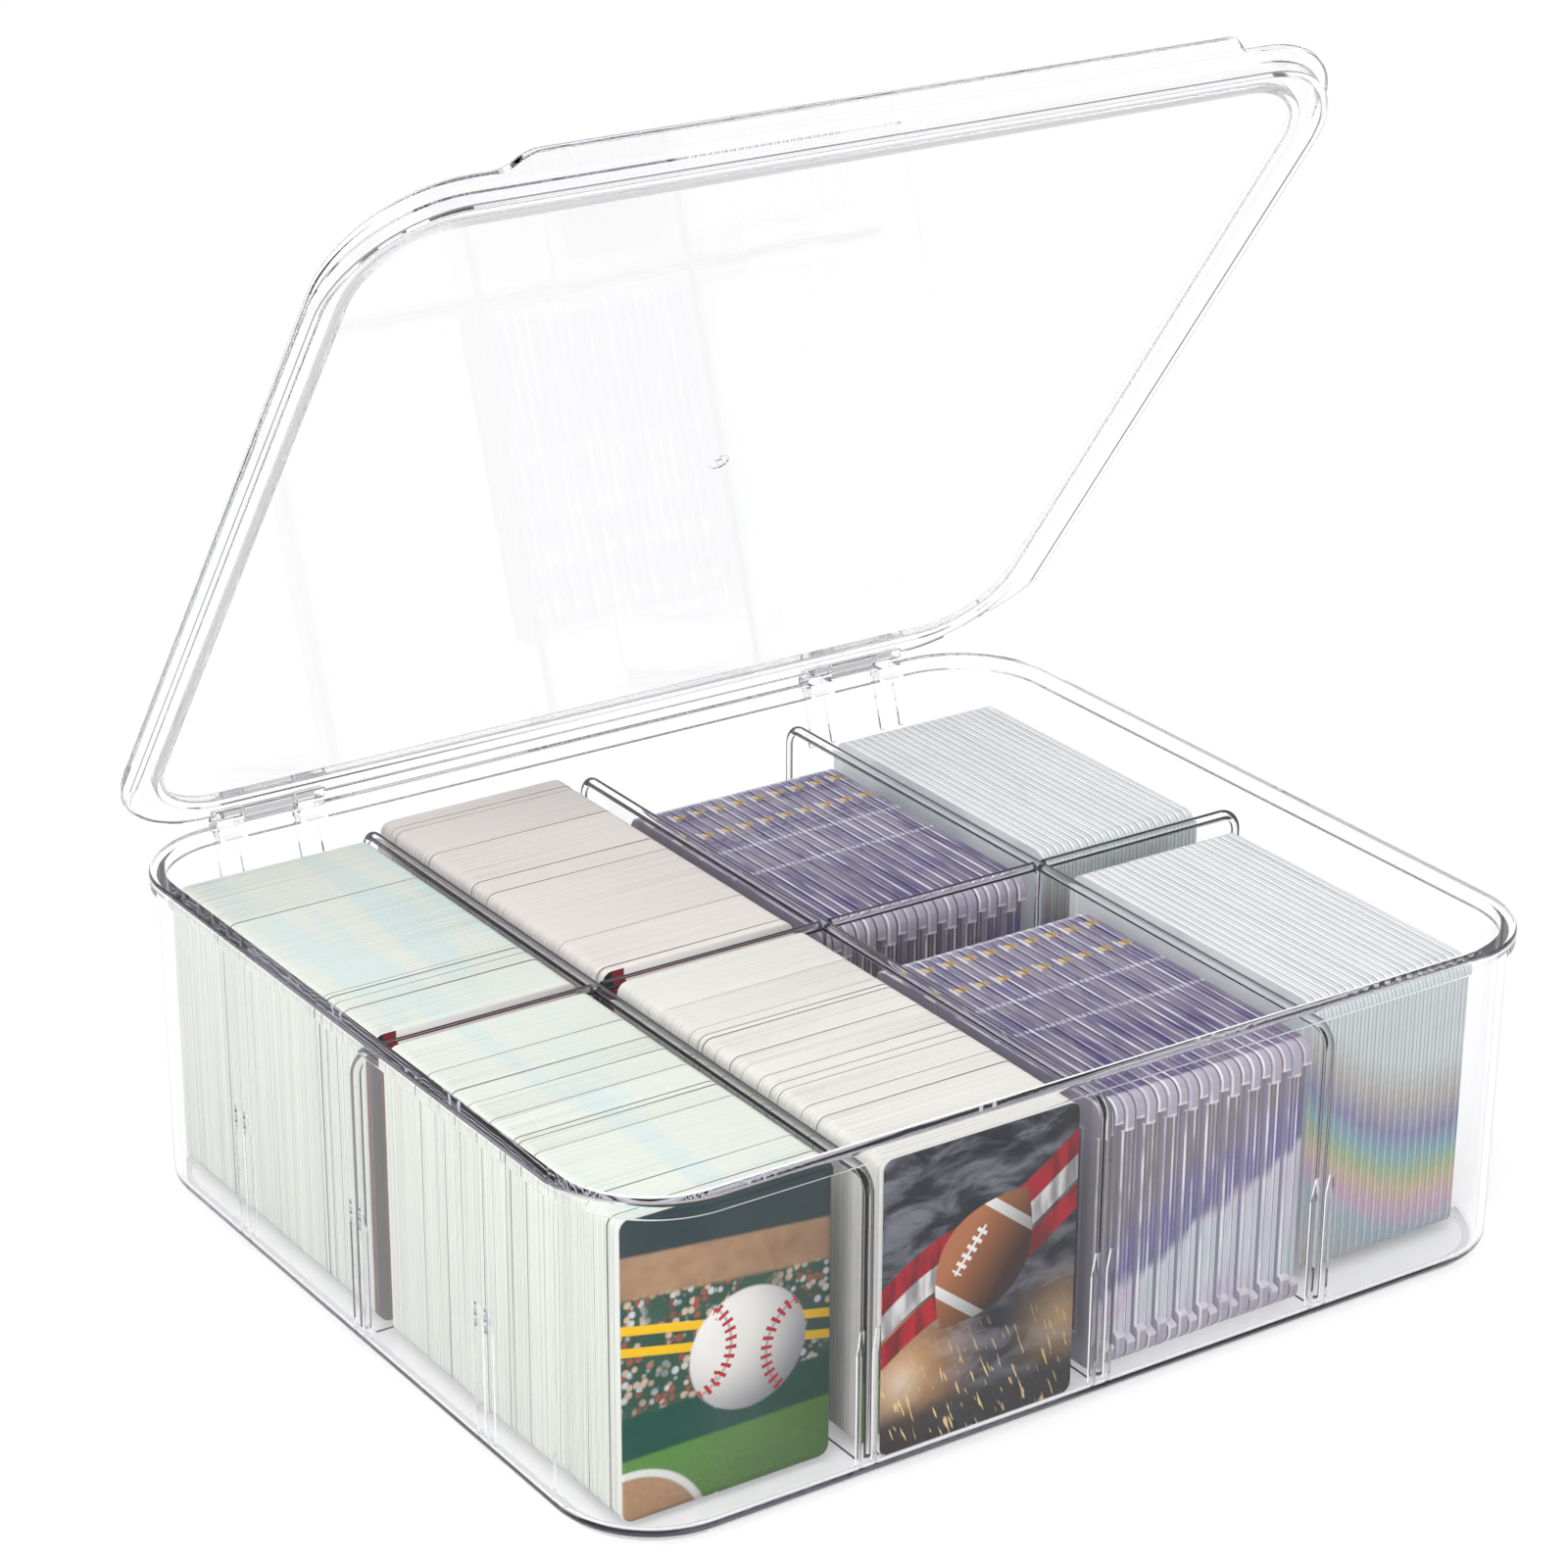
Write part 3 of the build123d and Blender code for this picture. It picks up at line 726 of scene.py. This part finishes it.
def sleeve_film(name, sleeves, low, high):
    """Clear stiff film seen many layers deep: milky, with a painted highlight line and painted shade in the
    gap at every other sleeve, a curved rainbow of stress at the front ends, and a welded line round the
    broad faces."""
    paint = Paint(name)
    where = paint.position()
    x, y, z = paint.parts(where)
    phase = ((x - low.x) / (2 * sleeves.pitch)).math("FRACT")
    # Painted shade in the gap and a painted highlight line, at every other sleeve
    gap = phase.smoothly(0.84, 0.90)
    shine = phase.near(0.30, 0.12, 0.20)
    wander = paint.noise(paint.vector(x * 4.0, y * 0.2, z * 0.2), 60.0, 2.0)
    film = paint.mix(wander.smoothly(0.35, 0.65), darker(sleeves.film, 0.86), sleeves.film)
    film = paint.mix(shine, film, SLEEVE_SHINE)
    film = paint.mix(gap, film, sleeves.gap)
    across = (x - low.x) / (high.x - low.x)
    bow = across * 0.75 - across * across * 0.45
    rainbow = stress_rainbow(paint, (z - low.z) / (high.z - low.z) + bow + (wander - 0.5) * 0.05)
    end = paint.mix(shine * 0.25, rainbow, (0.88, 0.89, 0.91))
    end = paint.mix(gap * 0.4, end, sleeves.gap)
    base = paint.mix(y.below(low.y + 0.001, low.y + 0.003), film, end)
    weld = outside(y, z, low.yz, high.yz).near(-sleeves.weld, 0.0004, 0.0007)
    face = paint.mix(paint.noise(where, 22.0, 2.0).smoothly(0.40, 0.62), sleeves.face, sleeves.film)
    face = paint.mix(weld * 0.7, face, SLEEVE_SHINE)
    paint.link(paint.mix(paint.on_broad_face(), base, face), "Base Color")
    haze = paint.noise(where, 300.0, 2.0)
    paint.link(haze * 0.1 + 0.12, "Roughness")
    paint.set(IOR=1.45, Alpha=0.92, Coat_Weight=0.4)
    return paint.material


def picture_print(name, kind):
    """A glossy printed picture of a generic motif, drawn on the card's own UV map, whose height is
    counted in card widths."""
    paint = Paint(name)
    u, v, _ = paint.parts(paint.node("ShaderNodeUVMap").outputs[0])
    v = v * CARD_HEIGHT_SHARE
    plane = paint.vector(u, v, 0.0)
    paint.link(kind(paint, u, v, plane), "Base Color")
    grain = paint.noise(plane, 120.0, 2.0)
    paint.link(grain * 0.08 + 0.22, "Roughness")
    paint.set(Specular_IOR_Level=0.12)
    return paint.material


def disc(u, v, centre, radius, soft=0.008):
    """1 inside a disc, 0 outside."""
    du = u - centre[0]
    dv = v - centre[1]
    away = (du * du + dv * dv).math("SQRT")
    return away.below(radius - soft, radius + soft)


def ball_over_field(paint, u, v, plane):
    """A white stitched ball over blurred stands, a sand band, yellow ribbons and a curved sand path."""
    spots = Field(paint.tree, paint.cells(plane, 26.0))
    pick, other, _ = paint.parts(paint.cells(plane, 26.0, "Color"))
    people = paint.mix(pick.smoothly(0.45, 0.55), (0.36, 0.09, 0.05), (0.66, 0.50, 0.38))
    people = paint.mix(other.smoothly(0.66, 0.74), people, (0.66, 0.68, 0.70))
    seats = paint.mix(paint.noise(plane, 6.0, 2.0), (0.008, 0.045, 0.035), (0.05, 0.12, 0.08))
    crowded = paint.noise(plane, 4.0, 1.0).smoothly(0.34, 0.50)
    stands = paint.mix(spots.below(0.30, 0.60) * crowded * 0.85, seats, people)
    slant = u * 0.1 + v
    sand = paint.mix(paint.noise(plane, 9.0, 3.0), (0.52, 0.34, 0.20), (0.20, 0.10, 0.06))
    base = paint.mix(slant.smoothly(1.02, 1.05), stands, sand)
    base = paint.mix(slant.smoothly(1.22, 1.24), base, (0.025, 0.045, 0.05))
    base = paint.mix(v.below(0.48, 0.50), base, (0.004, 0.075, 0.05))
    grass = paint.mix(paint.noise(plane, 60.0, 2.0), (0.06, 0.20, 0.03), (0.16, 0.36, 0.08))
    base = paint.mix(v.below(0.28, 0.30), base, grass)
    path = paint.mix(paint.noise(plane, 40.0, 3.0), (0.58, 0.36, 0.20), (0.40, 0.22, 0.12))
    inner = disc(u, v, (0.02, -0.16), 0.36)
    base = paint.mix(inner, base, path)
    rim = disc(u, v, (0.02, -0.16), 0.395) - inner
    base = paint.mix(rim.clamped(), base, (0.85, 0.85, 0.82))
    ribbons = u * 0.22 + v
    for place in (0.80, 0.90):
        base = paint.mix(ribbons.near(place, 0.018, 0.024), base, (0.86, 0.52, 0.01))
    centre = (0.60, 0.64)
    shade = disc(u, v, (centre[0] - 0.09, centre[1] + 0.09), 0.30, 0.20)
    leather = paint.mix(shade, (0.20, 0.21, 0.26), (0.90, 0.88, 0.84))
    ball = disc(u, v, centre, 0.28)
    base = paint.mix(ball, base, leather)
    for side in (-1, 1):
        du = u - (centre[0] + side * 0.32)
        dv = v - (centre[1] - side * 0.06)
        away = (du * du + dv * dv).math("SQRT") - 0.235
        base = paint.mix(away.near(0.0, 0.005, 0.009) * ball * 0.6, base, (0.30, 0.22, 0.20))
        ticks = (dv.math("ARCTAN2", du) * 36.0).math("SINE").smoothly(0.1, 0.5)
        base = paint.mix(away.near(0.0, 0.024, 0.030) * ticks * ball, base, (0.50, 0.01, 0.02))
    return base


def ball_in_storm(paint, u, v, plane):
    """A brown oval ball with white bands over a stormy sky, red streamers and golden sparks."""
    clouds = paint.noise(paint.scaled(plane, (1.0, 2.2, 1.0)), 3.4, 6.0, 0.62, 0.6)
    sky = paint.mix(clouds.smoothly(0.40, 0.66), (0.010, 0.012, 0.020), (0.19, 0.19, 0.23))
    glow = disc(u, v, (0.10, 0.36), 0.16, 0.32)
    sky = paint.mix(glow, sky, (0.95, 0.52, 0.22))
    sky = paint.mix(disc(u, v, (0.10, 0.33), 0.02, 0.16), sky, (1.0, 0.93, 0.80))
    far_glow = disc(u, v, (0.94, 0.38), 0.08, 0.26)
    base = paint.mix(far_glow * 0.9, sky, (0.95, 0.60, 0.30))
    base = paint.mix(v.below(0.12, 0.24) * 0.9, base, (0.018, 0.014, 0.018))
    wave = (u * 7.0).math("SINE") * 0.035
    streamers = (0.54, (0.55, 0.004, 0.02)), (0.68, (0.82, 0.80, 0.80)), (0.80, (0.46, 0.004, 0.02))
    for place, tint in streamers:
        away = (v - u * 0.45 - wave - place + 0.06).abs()
        folds = paint.noise(paint.scaled(plane, (9.0, 2.0, 1.0)), 1.6, 2.0)
        cloth = paint.mix(folds.smoothly(0.35, 0.62), darker(tint, 0.35), tint)
        base = paint.mix(away.below(0.056, 0.064), base, cloth)
    tilt = 0.9
    cos = math.cos(tilt)
    sin = math.sin(tilt)
    du = u - 0.52
    dv = v - 0.80
    along = du * cos + dv * sin
    across = dv * cos - du * sin
    limit = (along * along * -1.9 + 0.235).math("MAXIMUM", 0.0)
    ball = (across.abs() - limit).below(-0.006, 0.004)
    lit = (across * 3.2 + 0.5 + (paint.noise(plane, 90.0, 2.0) - 0.5) * 0.25).clamped()
    leather = paint.mix(lit, (0.035, 0.010, 0.006), (0.46, 0.17, 0.07))
    base = paint.mix(ball, base, leather)
    for place in (-0.22, 0.22):
        white = paint.mix(lit, (0.30, 0.30, 0.32), (0.92, 0.91, 0.88))
        base = paint.mix(along.near(place, 0.021, 0.026) * ball, base, white)
    lace = across.near(0.09, 0.005, 0.008) * along.near(0.0, 0.12, 0.13)
    ticks = (along * 150.0).math("SINE").smoothly(0.0, 0.4)
    cross = across.near(0.09, 0.027, 0.032) * along.near(0.0, 0.11, 0.12)
    base = paint.mix((lace + cross * ticks).clamped(), base, (0.90, 0.89, 0.86))
    slanted = paint.vector(u * 0.94 + v * 0.34, (v * 0.94 - u * 0.34) * 0.14, 0.0)
    sparks = paint.noise(slanted, 60.0, 1.0).smoothly(0.62, 0.67)
    return paint.mix(sparks * v.below(0.18, 0.58), base, (1.0, 0.74, 0.36))


# Pieces

def settings():
    """The sizes and colours that a user can change."""
    return bpy.context.scene.card_box


def dress(node, material):
    """Gives a CAD node that stays in view a better material."""
    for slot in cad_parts[node].material_slots:
        slot.material = material


def packed_cards(node, body, seed, edges, faces):
    """A stack of separate cards in the space of a stack's solid. They stand in clumps: each clump leans
    its own way sideways, and between some clumps is a dark gap. The stack is a little lower than its
    solid, so that the turned cards' corners stay inside."""
    cards = settings().cards
    low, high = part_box(node)
    width = (high.x - low.x) - 2 * cards.side_play
    spare_height = 0.0003
    hair = 1e-5
    random = np.random.default_rng(seed)
    count = int((high.y - low.y) / cards.pitch)
    clump = np.cumsum(random.random(count) < cards.gap_share)
    clumps = clump[-1] + 1
    clump_shift = random.normal(0, 0.4, clumps)[clump]
    wander = np.cumsum(random.normal(0, 0.10, count))
    wander -= np.linspace(wander[0], wander[-1], count)
    # Sideways places, as shares of the side play: each clump's, a slow wandering and each card's own
    shift = clump_shift + 0.35 * wander + random.normal(0, 0.16, count)
    shift = np.clip(shift, -1, 1) * cards.side_play * 0.8
    # The stack's spare length goes to the gaps between clumps, and a little of it to every card
    gaps = (np.diff(clump, prepend=0) > 0) * random.uniform(0.2, 1.0, count)
    spare = (high.y - low.y) - count * cards.thickness - 2 * hair
    steps = gaps * 10 + random.uniform(0.1, 0.5, count)
    starts = low.y + hair + np.arange(count) * cards.thickness + np.cumsum(steps) / steps.sum() * spare
    starts -= starts[0] - low.y - hair
    turn = random.normal(0, 0.0012, clumps)[clump] + random.normal(0, 0.0004, count)
    turn = np.clip(turn, -0.002, 0.002)
    height = high.z - low.z - spare_height
    outline = rounded_rectangle(width, height, cards.corner_radius, cards.corner_steps)
    lift = np.abs(turn) * width / 2 + low.z + height / 2
    across = (low.x + high.x) / 2 + shift
    mesh = card_mesh(node + "_cards", outline, starts, cards.thickness, across, turn, lift)
    # The brightness of each card's edges, and which cards are inked or stand at an end
    tone = 0.70 + random.normal(0, 0.10, clumps)[clump] + random.normal(0, 0.09, count)
    ink = np.zeros(count)
    ink[:cards.inked if low.y > 0 else 0] = 1
    end = np.zeros(count)
    end[[0, -1]] = 1
    for kind, values in (("tone", np.clip(tone, 0, 1)), ("ink", ink), ("end", end)):
        attribute = mesh.attributes.new(kind, "FLOAT", "POINT")
        attribute.data.foreach_set("value", np.repeat(values, 2 * len(outline)).astype(np.float32))
    place = np.zeros(len(mesh.polygons), np.int32)
    place[count * len(outline):] = 1
    add_piece(mesh, body, [edges[0], faces], [node])
    mesh.polygons.foreach_set("material_index", place)


def picture_card(node, material, back):
    """One card with a picture on its front face, whose UV map spans the card."""
    cards = settings().cards
    low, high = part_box(node)
    outline = rounded_rectangle(high.x - low.x, high.z - low.z, cards.corner_radius, 8)
    middle = (low + high) / 2
    front, across, level, turn = (np.array([value]) for value in (low.y, middle.x, middle.z, 0.0))
    mesh = card_mesh(node + "_print", outline, front, high.y - low.y, across, turn, level)
    uv_map = mesh.uv_layers.new(name="UVMap")
    numbers = np.zeros(len(mesh.loops), np.int32)
    mesh.loops.foreach_get("vertex_index", numbers)
    points = mesh_points(mesh)[numbers]
    uv = np.stack([(points[:, 0] - low.x) / (high.x - low.x), (points[:, 2] - low.z) / (high.z - low.z)], 1)
    uv_map.data.foreach_set("uv", uv.astype(np.float32).ravel())
    place = np.ones(len(mesh.polygons), np.int32)
    place[len(outline)] = 0
    add_piece(mesh, node, [material, back], [node])
    mesh.polygons.foreach_set("material_index", place)


def case_outline(length, height, corner, tab, recess):
    """A case's outline in the YZ plane, from its middle: rounded corners, and ends that are set back
    between a tab at the top and a tab at the bottom."""
    end = length / 2
    low = -height / 2 + tab
    soft = recess * 0.4
    notch = np.array([(end, low), (end - recess, low + soft), (end - recess, -low - soft), (end, -low)])
    first, second, third, fourth = np.split(rounded_rectangle(length, height, corner, 7), 4)
    return np.concatenate([first, notch, second, third, -notch, fourth])


def case_halves(row, kind, tab, recess):
    """One half of each case in a row: a slab with softened edges. Seen along X its rings are the softened
    outer face, the slab's rim, the softened inner face and, in a base, the card's recess. The slabs
    stand a hair above the bin's floor, because faces in one plane with it would flicker."""
    cases = settings().cases
    node = "case_" + kind + "_" + row
    low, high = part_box(node)
    card_low, card_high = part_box("case_cards_" + row)
    thick = cases.half_thickness
    soft = cases.edge_softness
    outline = case_outline(high.y - low.y, high.z - low.z - CLEAR_OF_FLOOR, cases.corner_radius, tab, recess)
    softened = inset(outline, soft)
    steps = [(softened, 0), (outline, soft), (outline, thick - soft), (softened, thick)]
    if kind == "bases":
        size = np.array([card_high.y - card_low.y, card_high.z - card_low.z]) + cases.card_play
        window = np.clip(outline, -size / 2, size / 2)
        steps += [(window, thick), (window, thick - cases.card_recess)]
    rings = np.zeros((len(steps), len(outline), 3))
    for ring, (shape, x) in zip(rings, steps):
        ring[:, 0] = x
        ring[:, 1:] = shape
    rings += (0, (low.y + high.y) / 2, (low.z + high.z + CLEAR_OF_FLOOR) / 2)
    count = round((high.x - low.x) / cases.pitch) + 1
    places = np.zeros((count, 3))
    places[:, 0] = np.linspace(low.x, high.x - thick, count)
    return ringed_solids(node + "_shells", rings, places), node


# Operators

class CARDBOX_OT_bin(Operator):
    """Gives the bin its clear plastic"""
    bl_idname = "cardbox.bin"
    bl_label = "Bin"

    def execute(self, context):
        dress("bin", clear_plastic("clear_bin", settings().plastic))
        return {"FINISHED"}


def folds_and_lip(plastic, flat, lip, paint, where):
    """Painted shade where the lid's plate and its walls run into each other, and a painted dark line along
    its skirt's lip. The plate looks along flat, and the lip is the lowest place that way."""
    level = paint.looks_along(flat)
    folds = level.smoothly(0.15, 0.35) * level.below(0.82, 0.95) * plastic.fold_shade
    # Painted shade: a dark line along the skirt's lip, on the walls only
    line = (paint.along(where, flat) - lip).below(plastic.lip_shade_line * 0.7, plastic.lip_shade_line)
    return folds.math("MAXIMUM", line * level.below(0.4, 0.6) * 0.8)


class CARDBOX_OT_lid(Operator):
    """Gives the lid its clear plastic"""
    bl_idname = "cardbox.lid"
    bl_label = "Lid"

    def execute(self, context):
        plastic = settings().plastic
        flat = (0, math.sin(plastic.lid_angle), math.cos(plastic.lid_angle))
        lip = float((mesh_points(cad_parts["lid"].data) @ np.array(flat)).min())
        lines = partial(folds_and_lip, plastic, flat, lip)
        dress("lid", clear_plastic("clear_lid", plastic, 0.5, 0.3, LID_EDGE, more_lines=lines))
        return {"FINISHED"}


def on_bead(high, width, across_box, x, y, z):
    """1 on the round bead along a divider's top and its two ends."""
    along, half = (x, high.x) if across_box else (y, high.y)
    soft = width * 1.1
    top = z.smoothly(high.z - soft, high.z - width)
    return (top + along.abs().smoothly(half - soft, half - width)).clamped()


class CARDBOX_OT_dividers(Operator):
    """Gives the four dividers their clear plastic"""
    bl_idname = "cardbox.dividers"
    bl_label = "Dividers"

    def execute(self, context):
        plastic = settings().plastic
        for node in ("cross_divider", "long_divider_left", "long_divider_centre", "long_divider_right"):
            across_box = node == "cross_divider"
            edge = CROSS_DIVIDER_EDGE if across_box else LONG_DIVIDER_EDGE
            # Painted shade: the dark edge lines are kept to the bead along the top and the ends
            bead = partial(on_bead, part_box(node)[1], plastic.bead_width, across_box)
            dress(node, clear_plastic("clear_" + node, plastic, 1.6, 1.0, edge, bead))
        return {"FINISHED"}


class CARDBOX_OT_stacks(Operator):
    """Builds the four stacks of bare cards"""
    bl_idname = "cardbox.stacks"
    bl_label = "Card stacks"

    def execute(self, context):
        cards = settings().cards
        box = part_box("card_stack_left_rear")
        green = card_edges("green_white_edges", cards.left_edge, cards.left_band, box)
        pink = card_edges("pink_white_edges", cards.mid_rear_edge)
        cream = card_edges("cream_edges", cards.mid_front_edge)
        stacks = {
            "card_stack_left_rear": (green, "card_green"),
            "card_stack_left_front": (green, "card_green"),
            "card_stack_mid_rear": (pink, "card_pink"),
            "card_stack_mid_front": (cream, "card_cream"),
        }
        for seed, (node, edges) in enumerate(stacks.items(), 11):
            packed_cards(node, node, seed, edges, card_faces(node + "_faces", *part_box(node)))
        return {"FINISHED"}


class CARDBOX_OT_pictures(Operator):
    """Builds the two picture cards"""
    bl_idname = "cardbox.pictures"
    bl_label = "Picture cards"

    def execute(self, context):
        back = card_edges("picture_card_edges", (0.80, 0.79, 0.76))
        for side, name, motif in (
            ("left", "field_print", ball_over_field),
            ("mid", "storm_print", ball_in_storm),
        ):
            picture_card("picture_card_" + side, picture_print(name, motif), back)
        return {"FINISHED"}


class CARDBOX_OT_cases(Operator):
    """Builds the magnetic cases and gives their magnets and cards a finish"""
    bl_idname = "cardbox.cases"
    bl_label = "Magnetic cases"

    def execute(self, context):
        cases = settings().cases
        gold = magnet_gold(cases.gold)
        foil = case_print(cases)
        for row in ("rear", "front"):
            boxes = *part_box("case_bases_" + row), *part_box("case_cards_" + row)
            shell = case_plastic("case_plastic_" + row, cases, settings().plastic, *boxes)
            for kind, tab, recess in (
                ("bases", cases.base_tab, cases.base_recess),
                ("covers", cases.cover_tab, cases.cover_recess),
            ):
                mesh, node = case_halves(row, kind, tab, recess)
                add_piece(mesh, "cases_" + row, [shell], [node])
            dress("case_magnets_" + row, gold)
            dress("case_cards_" + row, foil)
        return {"FINISHED"}


class CARDBOX_OT_sleeves(Operator):
    """Gives the rigid sleeves their film"""
    bl_idname = "cardbox.sleeves"
    bl_label = "Rigid sleeves"

    def execute(self, context):
        for row in ("rear", "front"):
            node = "sleeves_" + row
            dress(node, sleeve_film("sleeve_film_" + row, settings().sleeves, *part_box(node)))
        return {"FINISHED"}


def seen_directly(tree):
    """Two fields. The first is 1 for light that reaches the camera by gloss and clear plastic alone, and
    0 for light that a matt surface has scattered. The second is 1 for light straight to the camera."""
    path = tree.nodes.new("ShaderNodeLightPath")
    mirrored, bent, to_camera, scattered = (
        Field(tree, path.outputs[name])
        for name in ("Is Glossy Ray", "Is Transmission Ray", "Is Camera Ray", "Diffuse Depth")
    )
    any_way = (mirrored + bent).math("ADD", to_camera, clamp=True)
    return any_way * scattered.math("LESS_THAN", 0.5), to_camera


def studio_floor(stage):
    """A white floor that keeps a soft shadow and shows white in gloss and through clear plastic."""
    half = stage.floor_half
    points = np.array([(-half, -half, 0), (half, -half, 0), (half, half, 0), (-half, half, 0)])
    mesh = mesh_from_arrays("studio_floor", points, [np.array([[0, 1, 2, 3]])])
    floor = bpy.data.objects.new("studio_floor", mesh)
    bpy.context.scene.collection.objects.link(floor)
    material = bpy.data.materials.new("studio_floor")
    material.use_nodes = True
    tree = material.node_tree
    tree.nodes.clear()
    diffuse = tree.nodes.new("ShaderNodeBsdfDiffuse")
    diffuse.inputs["Color"].default_value = (*stage.floor, 1)
    glow = tree.nodes.new("ShaderNodeEmission")
    direct, _ = seen_directly(tree)
    tree.links.new((direct * stage.floor_glow).socket, glow.inputs["Strength"])
    both = tree.nodes.new("ShaderNodeAddShader")
    tree.links.new(diffuse.outputs[0], both.inputs[0])
    tree.links.new(glow.outputs[0], both.inputs[1])
    output = tree.nodes.new("ShaderNodeOutputMaterial")
    tree.links.new(both.outputs[0], output.inputs["Surface"])
    mesh.materials.append(material)


def studio_world(stage):
    """White surroundings. Gloss and clear plastic see white walls near the horizon and a ring of white
    panels on a dim ceiling overhead, which draw bright and dark lines along rounded edges."""
    world = bpy.data.worlds.new("studio")
    bpy.context.scene.world = world
    world.use_nodes = True
    tree = world.node_tree
    background = tree.nodes["Background"]
    direct, to_camera = seen_directly(tree)
    direction = tree.nodes.new("ShaderNodeTexCoord")
    split = tree.nodes.new("ShaderNodeSeparateXYZ")
    tree.links.new(direction.outputs["Generated"], split.inputs[0])
    height = Field(tree, split.outputs["Z"])
    walls = height.smoothly(*WALLS_END, 1.0, stage.ceiling)
    panels = (height - PANELS_HEIGHT).abs().smoothly(*PANELS_HALF, stage.panel, 0.0)
    overhead = walls.math("MAXIMUM", panels).math("MAXIMUM", to_camera)
    light = (-direct + 1.0) * stage.world_light
    tree.links.new((overhead * direct + light).socket, background.inputs["Strength"])
    background.inputs["Color"].default_value = (1, 1, 1, 1)


def soft_light(name, place, size, power):
    """A square soft light that faces the box."""
    lamp = bpy.data.lights.new(name, "AREA")
    lamp.size = size
    lamp.energy = power
    light = bpy.data.objects.new(name, lamp)
    light.location = place
    light.rotation_euler = (Vector(LAMPS_FACE) - Vector(place)).to_track_quat("-Z", "Y").to_euler()
    bpy.context.scene.collection.objects.link(light)


def studio_camera(stage):
    """The camera, aimed along the azimuth and elevation through the target and turned by the roll."""
    cos = math.cos(stage.elevation)
    look = Vector((math.sin(stage.azimuth) * cos, math.cos(stage.azimuth) * cos, -math.sin(stage.elevation)))
    right = look.cross(Vector((0, 0, 1))).normalized()
    up = right.cross(look)
    turned_right = right * math.cos(stage.roll) + up * math.sin(stage.roll)
    turned_up = up * math.cos(stage.roll) - right * math.sin(stage.roll)
    lens = bpy.data.cameras.new("camera")
    lens.sensor_width = 36
    lens.lens = stage.lens
    lens.shift_x = stage.shift_x
    lens.shift_y = stage.shift_y
    camera = bpy.data.objects.new("camera", lens)
    bpy.context.scene.collection.objects.link(camera)
    place = Vector(stage.target) - look * stage.distance
    turning = Matrix((turned_right, turned_up, -look)).transposed().to_4x4()
    camera.matrix_world = Matrix.Translation(place) @ turning
    bpy.context.scene.camera = camera


class CARDBOX_OT_stage(Operator):
    """Sets up the floor, the light and the camera"""
    bl_idname = "cardbox.stage"
    bl_label = "Stage"

    def execute(self, context):
        stage = settings().stage
        studio_floor(stage)
        studio_world(stage)
        soft_light("key_light", (-0.5, -0.6, 1.5), 1.1, stage.key_power)
        soft_light("side_light", (-1.6, -0.7, 0.55), 1.0, stage.side_power)
        studio_camera(stage)
        context.scene.view_settings.view_transform = "Standard"
        for name, bounces in LIGHT_BOUNCES.items():
            setattr(context.scene.cycles, name, bounces)
        return {"FINISHED"}


OPERATORS = (
    CARDBOX_OT_bin,
    CARDBOX_OT_lid,
    CARDBOX_OT_dividers,
    CARDBOX_OT_stacks,
    CARDBOX_OT_pictures,
    CARDBOX_OT_cases,
    CARDBOX_OT_sleeves,
    CARDBOX_OT_stage,
)


class CARDBOX_PT_panel(Panel):
    """Lists the pieces of the card box"""
    bl_idname = "CARDBOX_PT_panel"
    bl_label = "Card Box"
    bl_space_type = "VIEW_3D"
    bl_region_type = "UI"
    bl_category = "Card Box"

    def draw(self, context):
        for operator in OPERATORS:
            self.layout.operator(operator.bl_idname)


CLASSES = (
    ClearPlasticSettings,
    CardSettings,
    CaseSettings,
    SleeveSettings,
    StageSettings,
    CardBoxSettings,
    *OPERATORS,
    CARDBOX_PT_panel,
)


def register():
    for one in CLASSES:
        bpy.utils.register_class(one)
    bpy.types.Scene.card_box = PointerProperty(type=CardBoxSettings)


def unregister():
    del bpy.types.Scene.card_box
    for one in reversed(CLASSES):
        bpy.utils.unregister_class(one)


def main():
    register()
    bpy.ops.cardbox.bin()
    bpy.ops.cardbox.lid()
    bpy.ops.cardbox.dividers()
    bpy.ops.cardbox.stacks()
    bpy.ops.cardbox.pictures()
    bpy.ops.cardbox.cases()
    bpy.ops.cardbox.sleeves()
    bpy.ops.cardbox.stage()


if __name__ == "__main__":
    main()
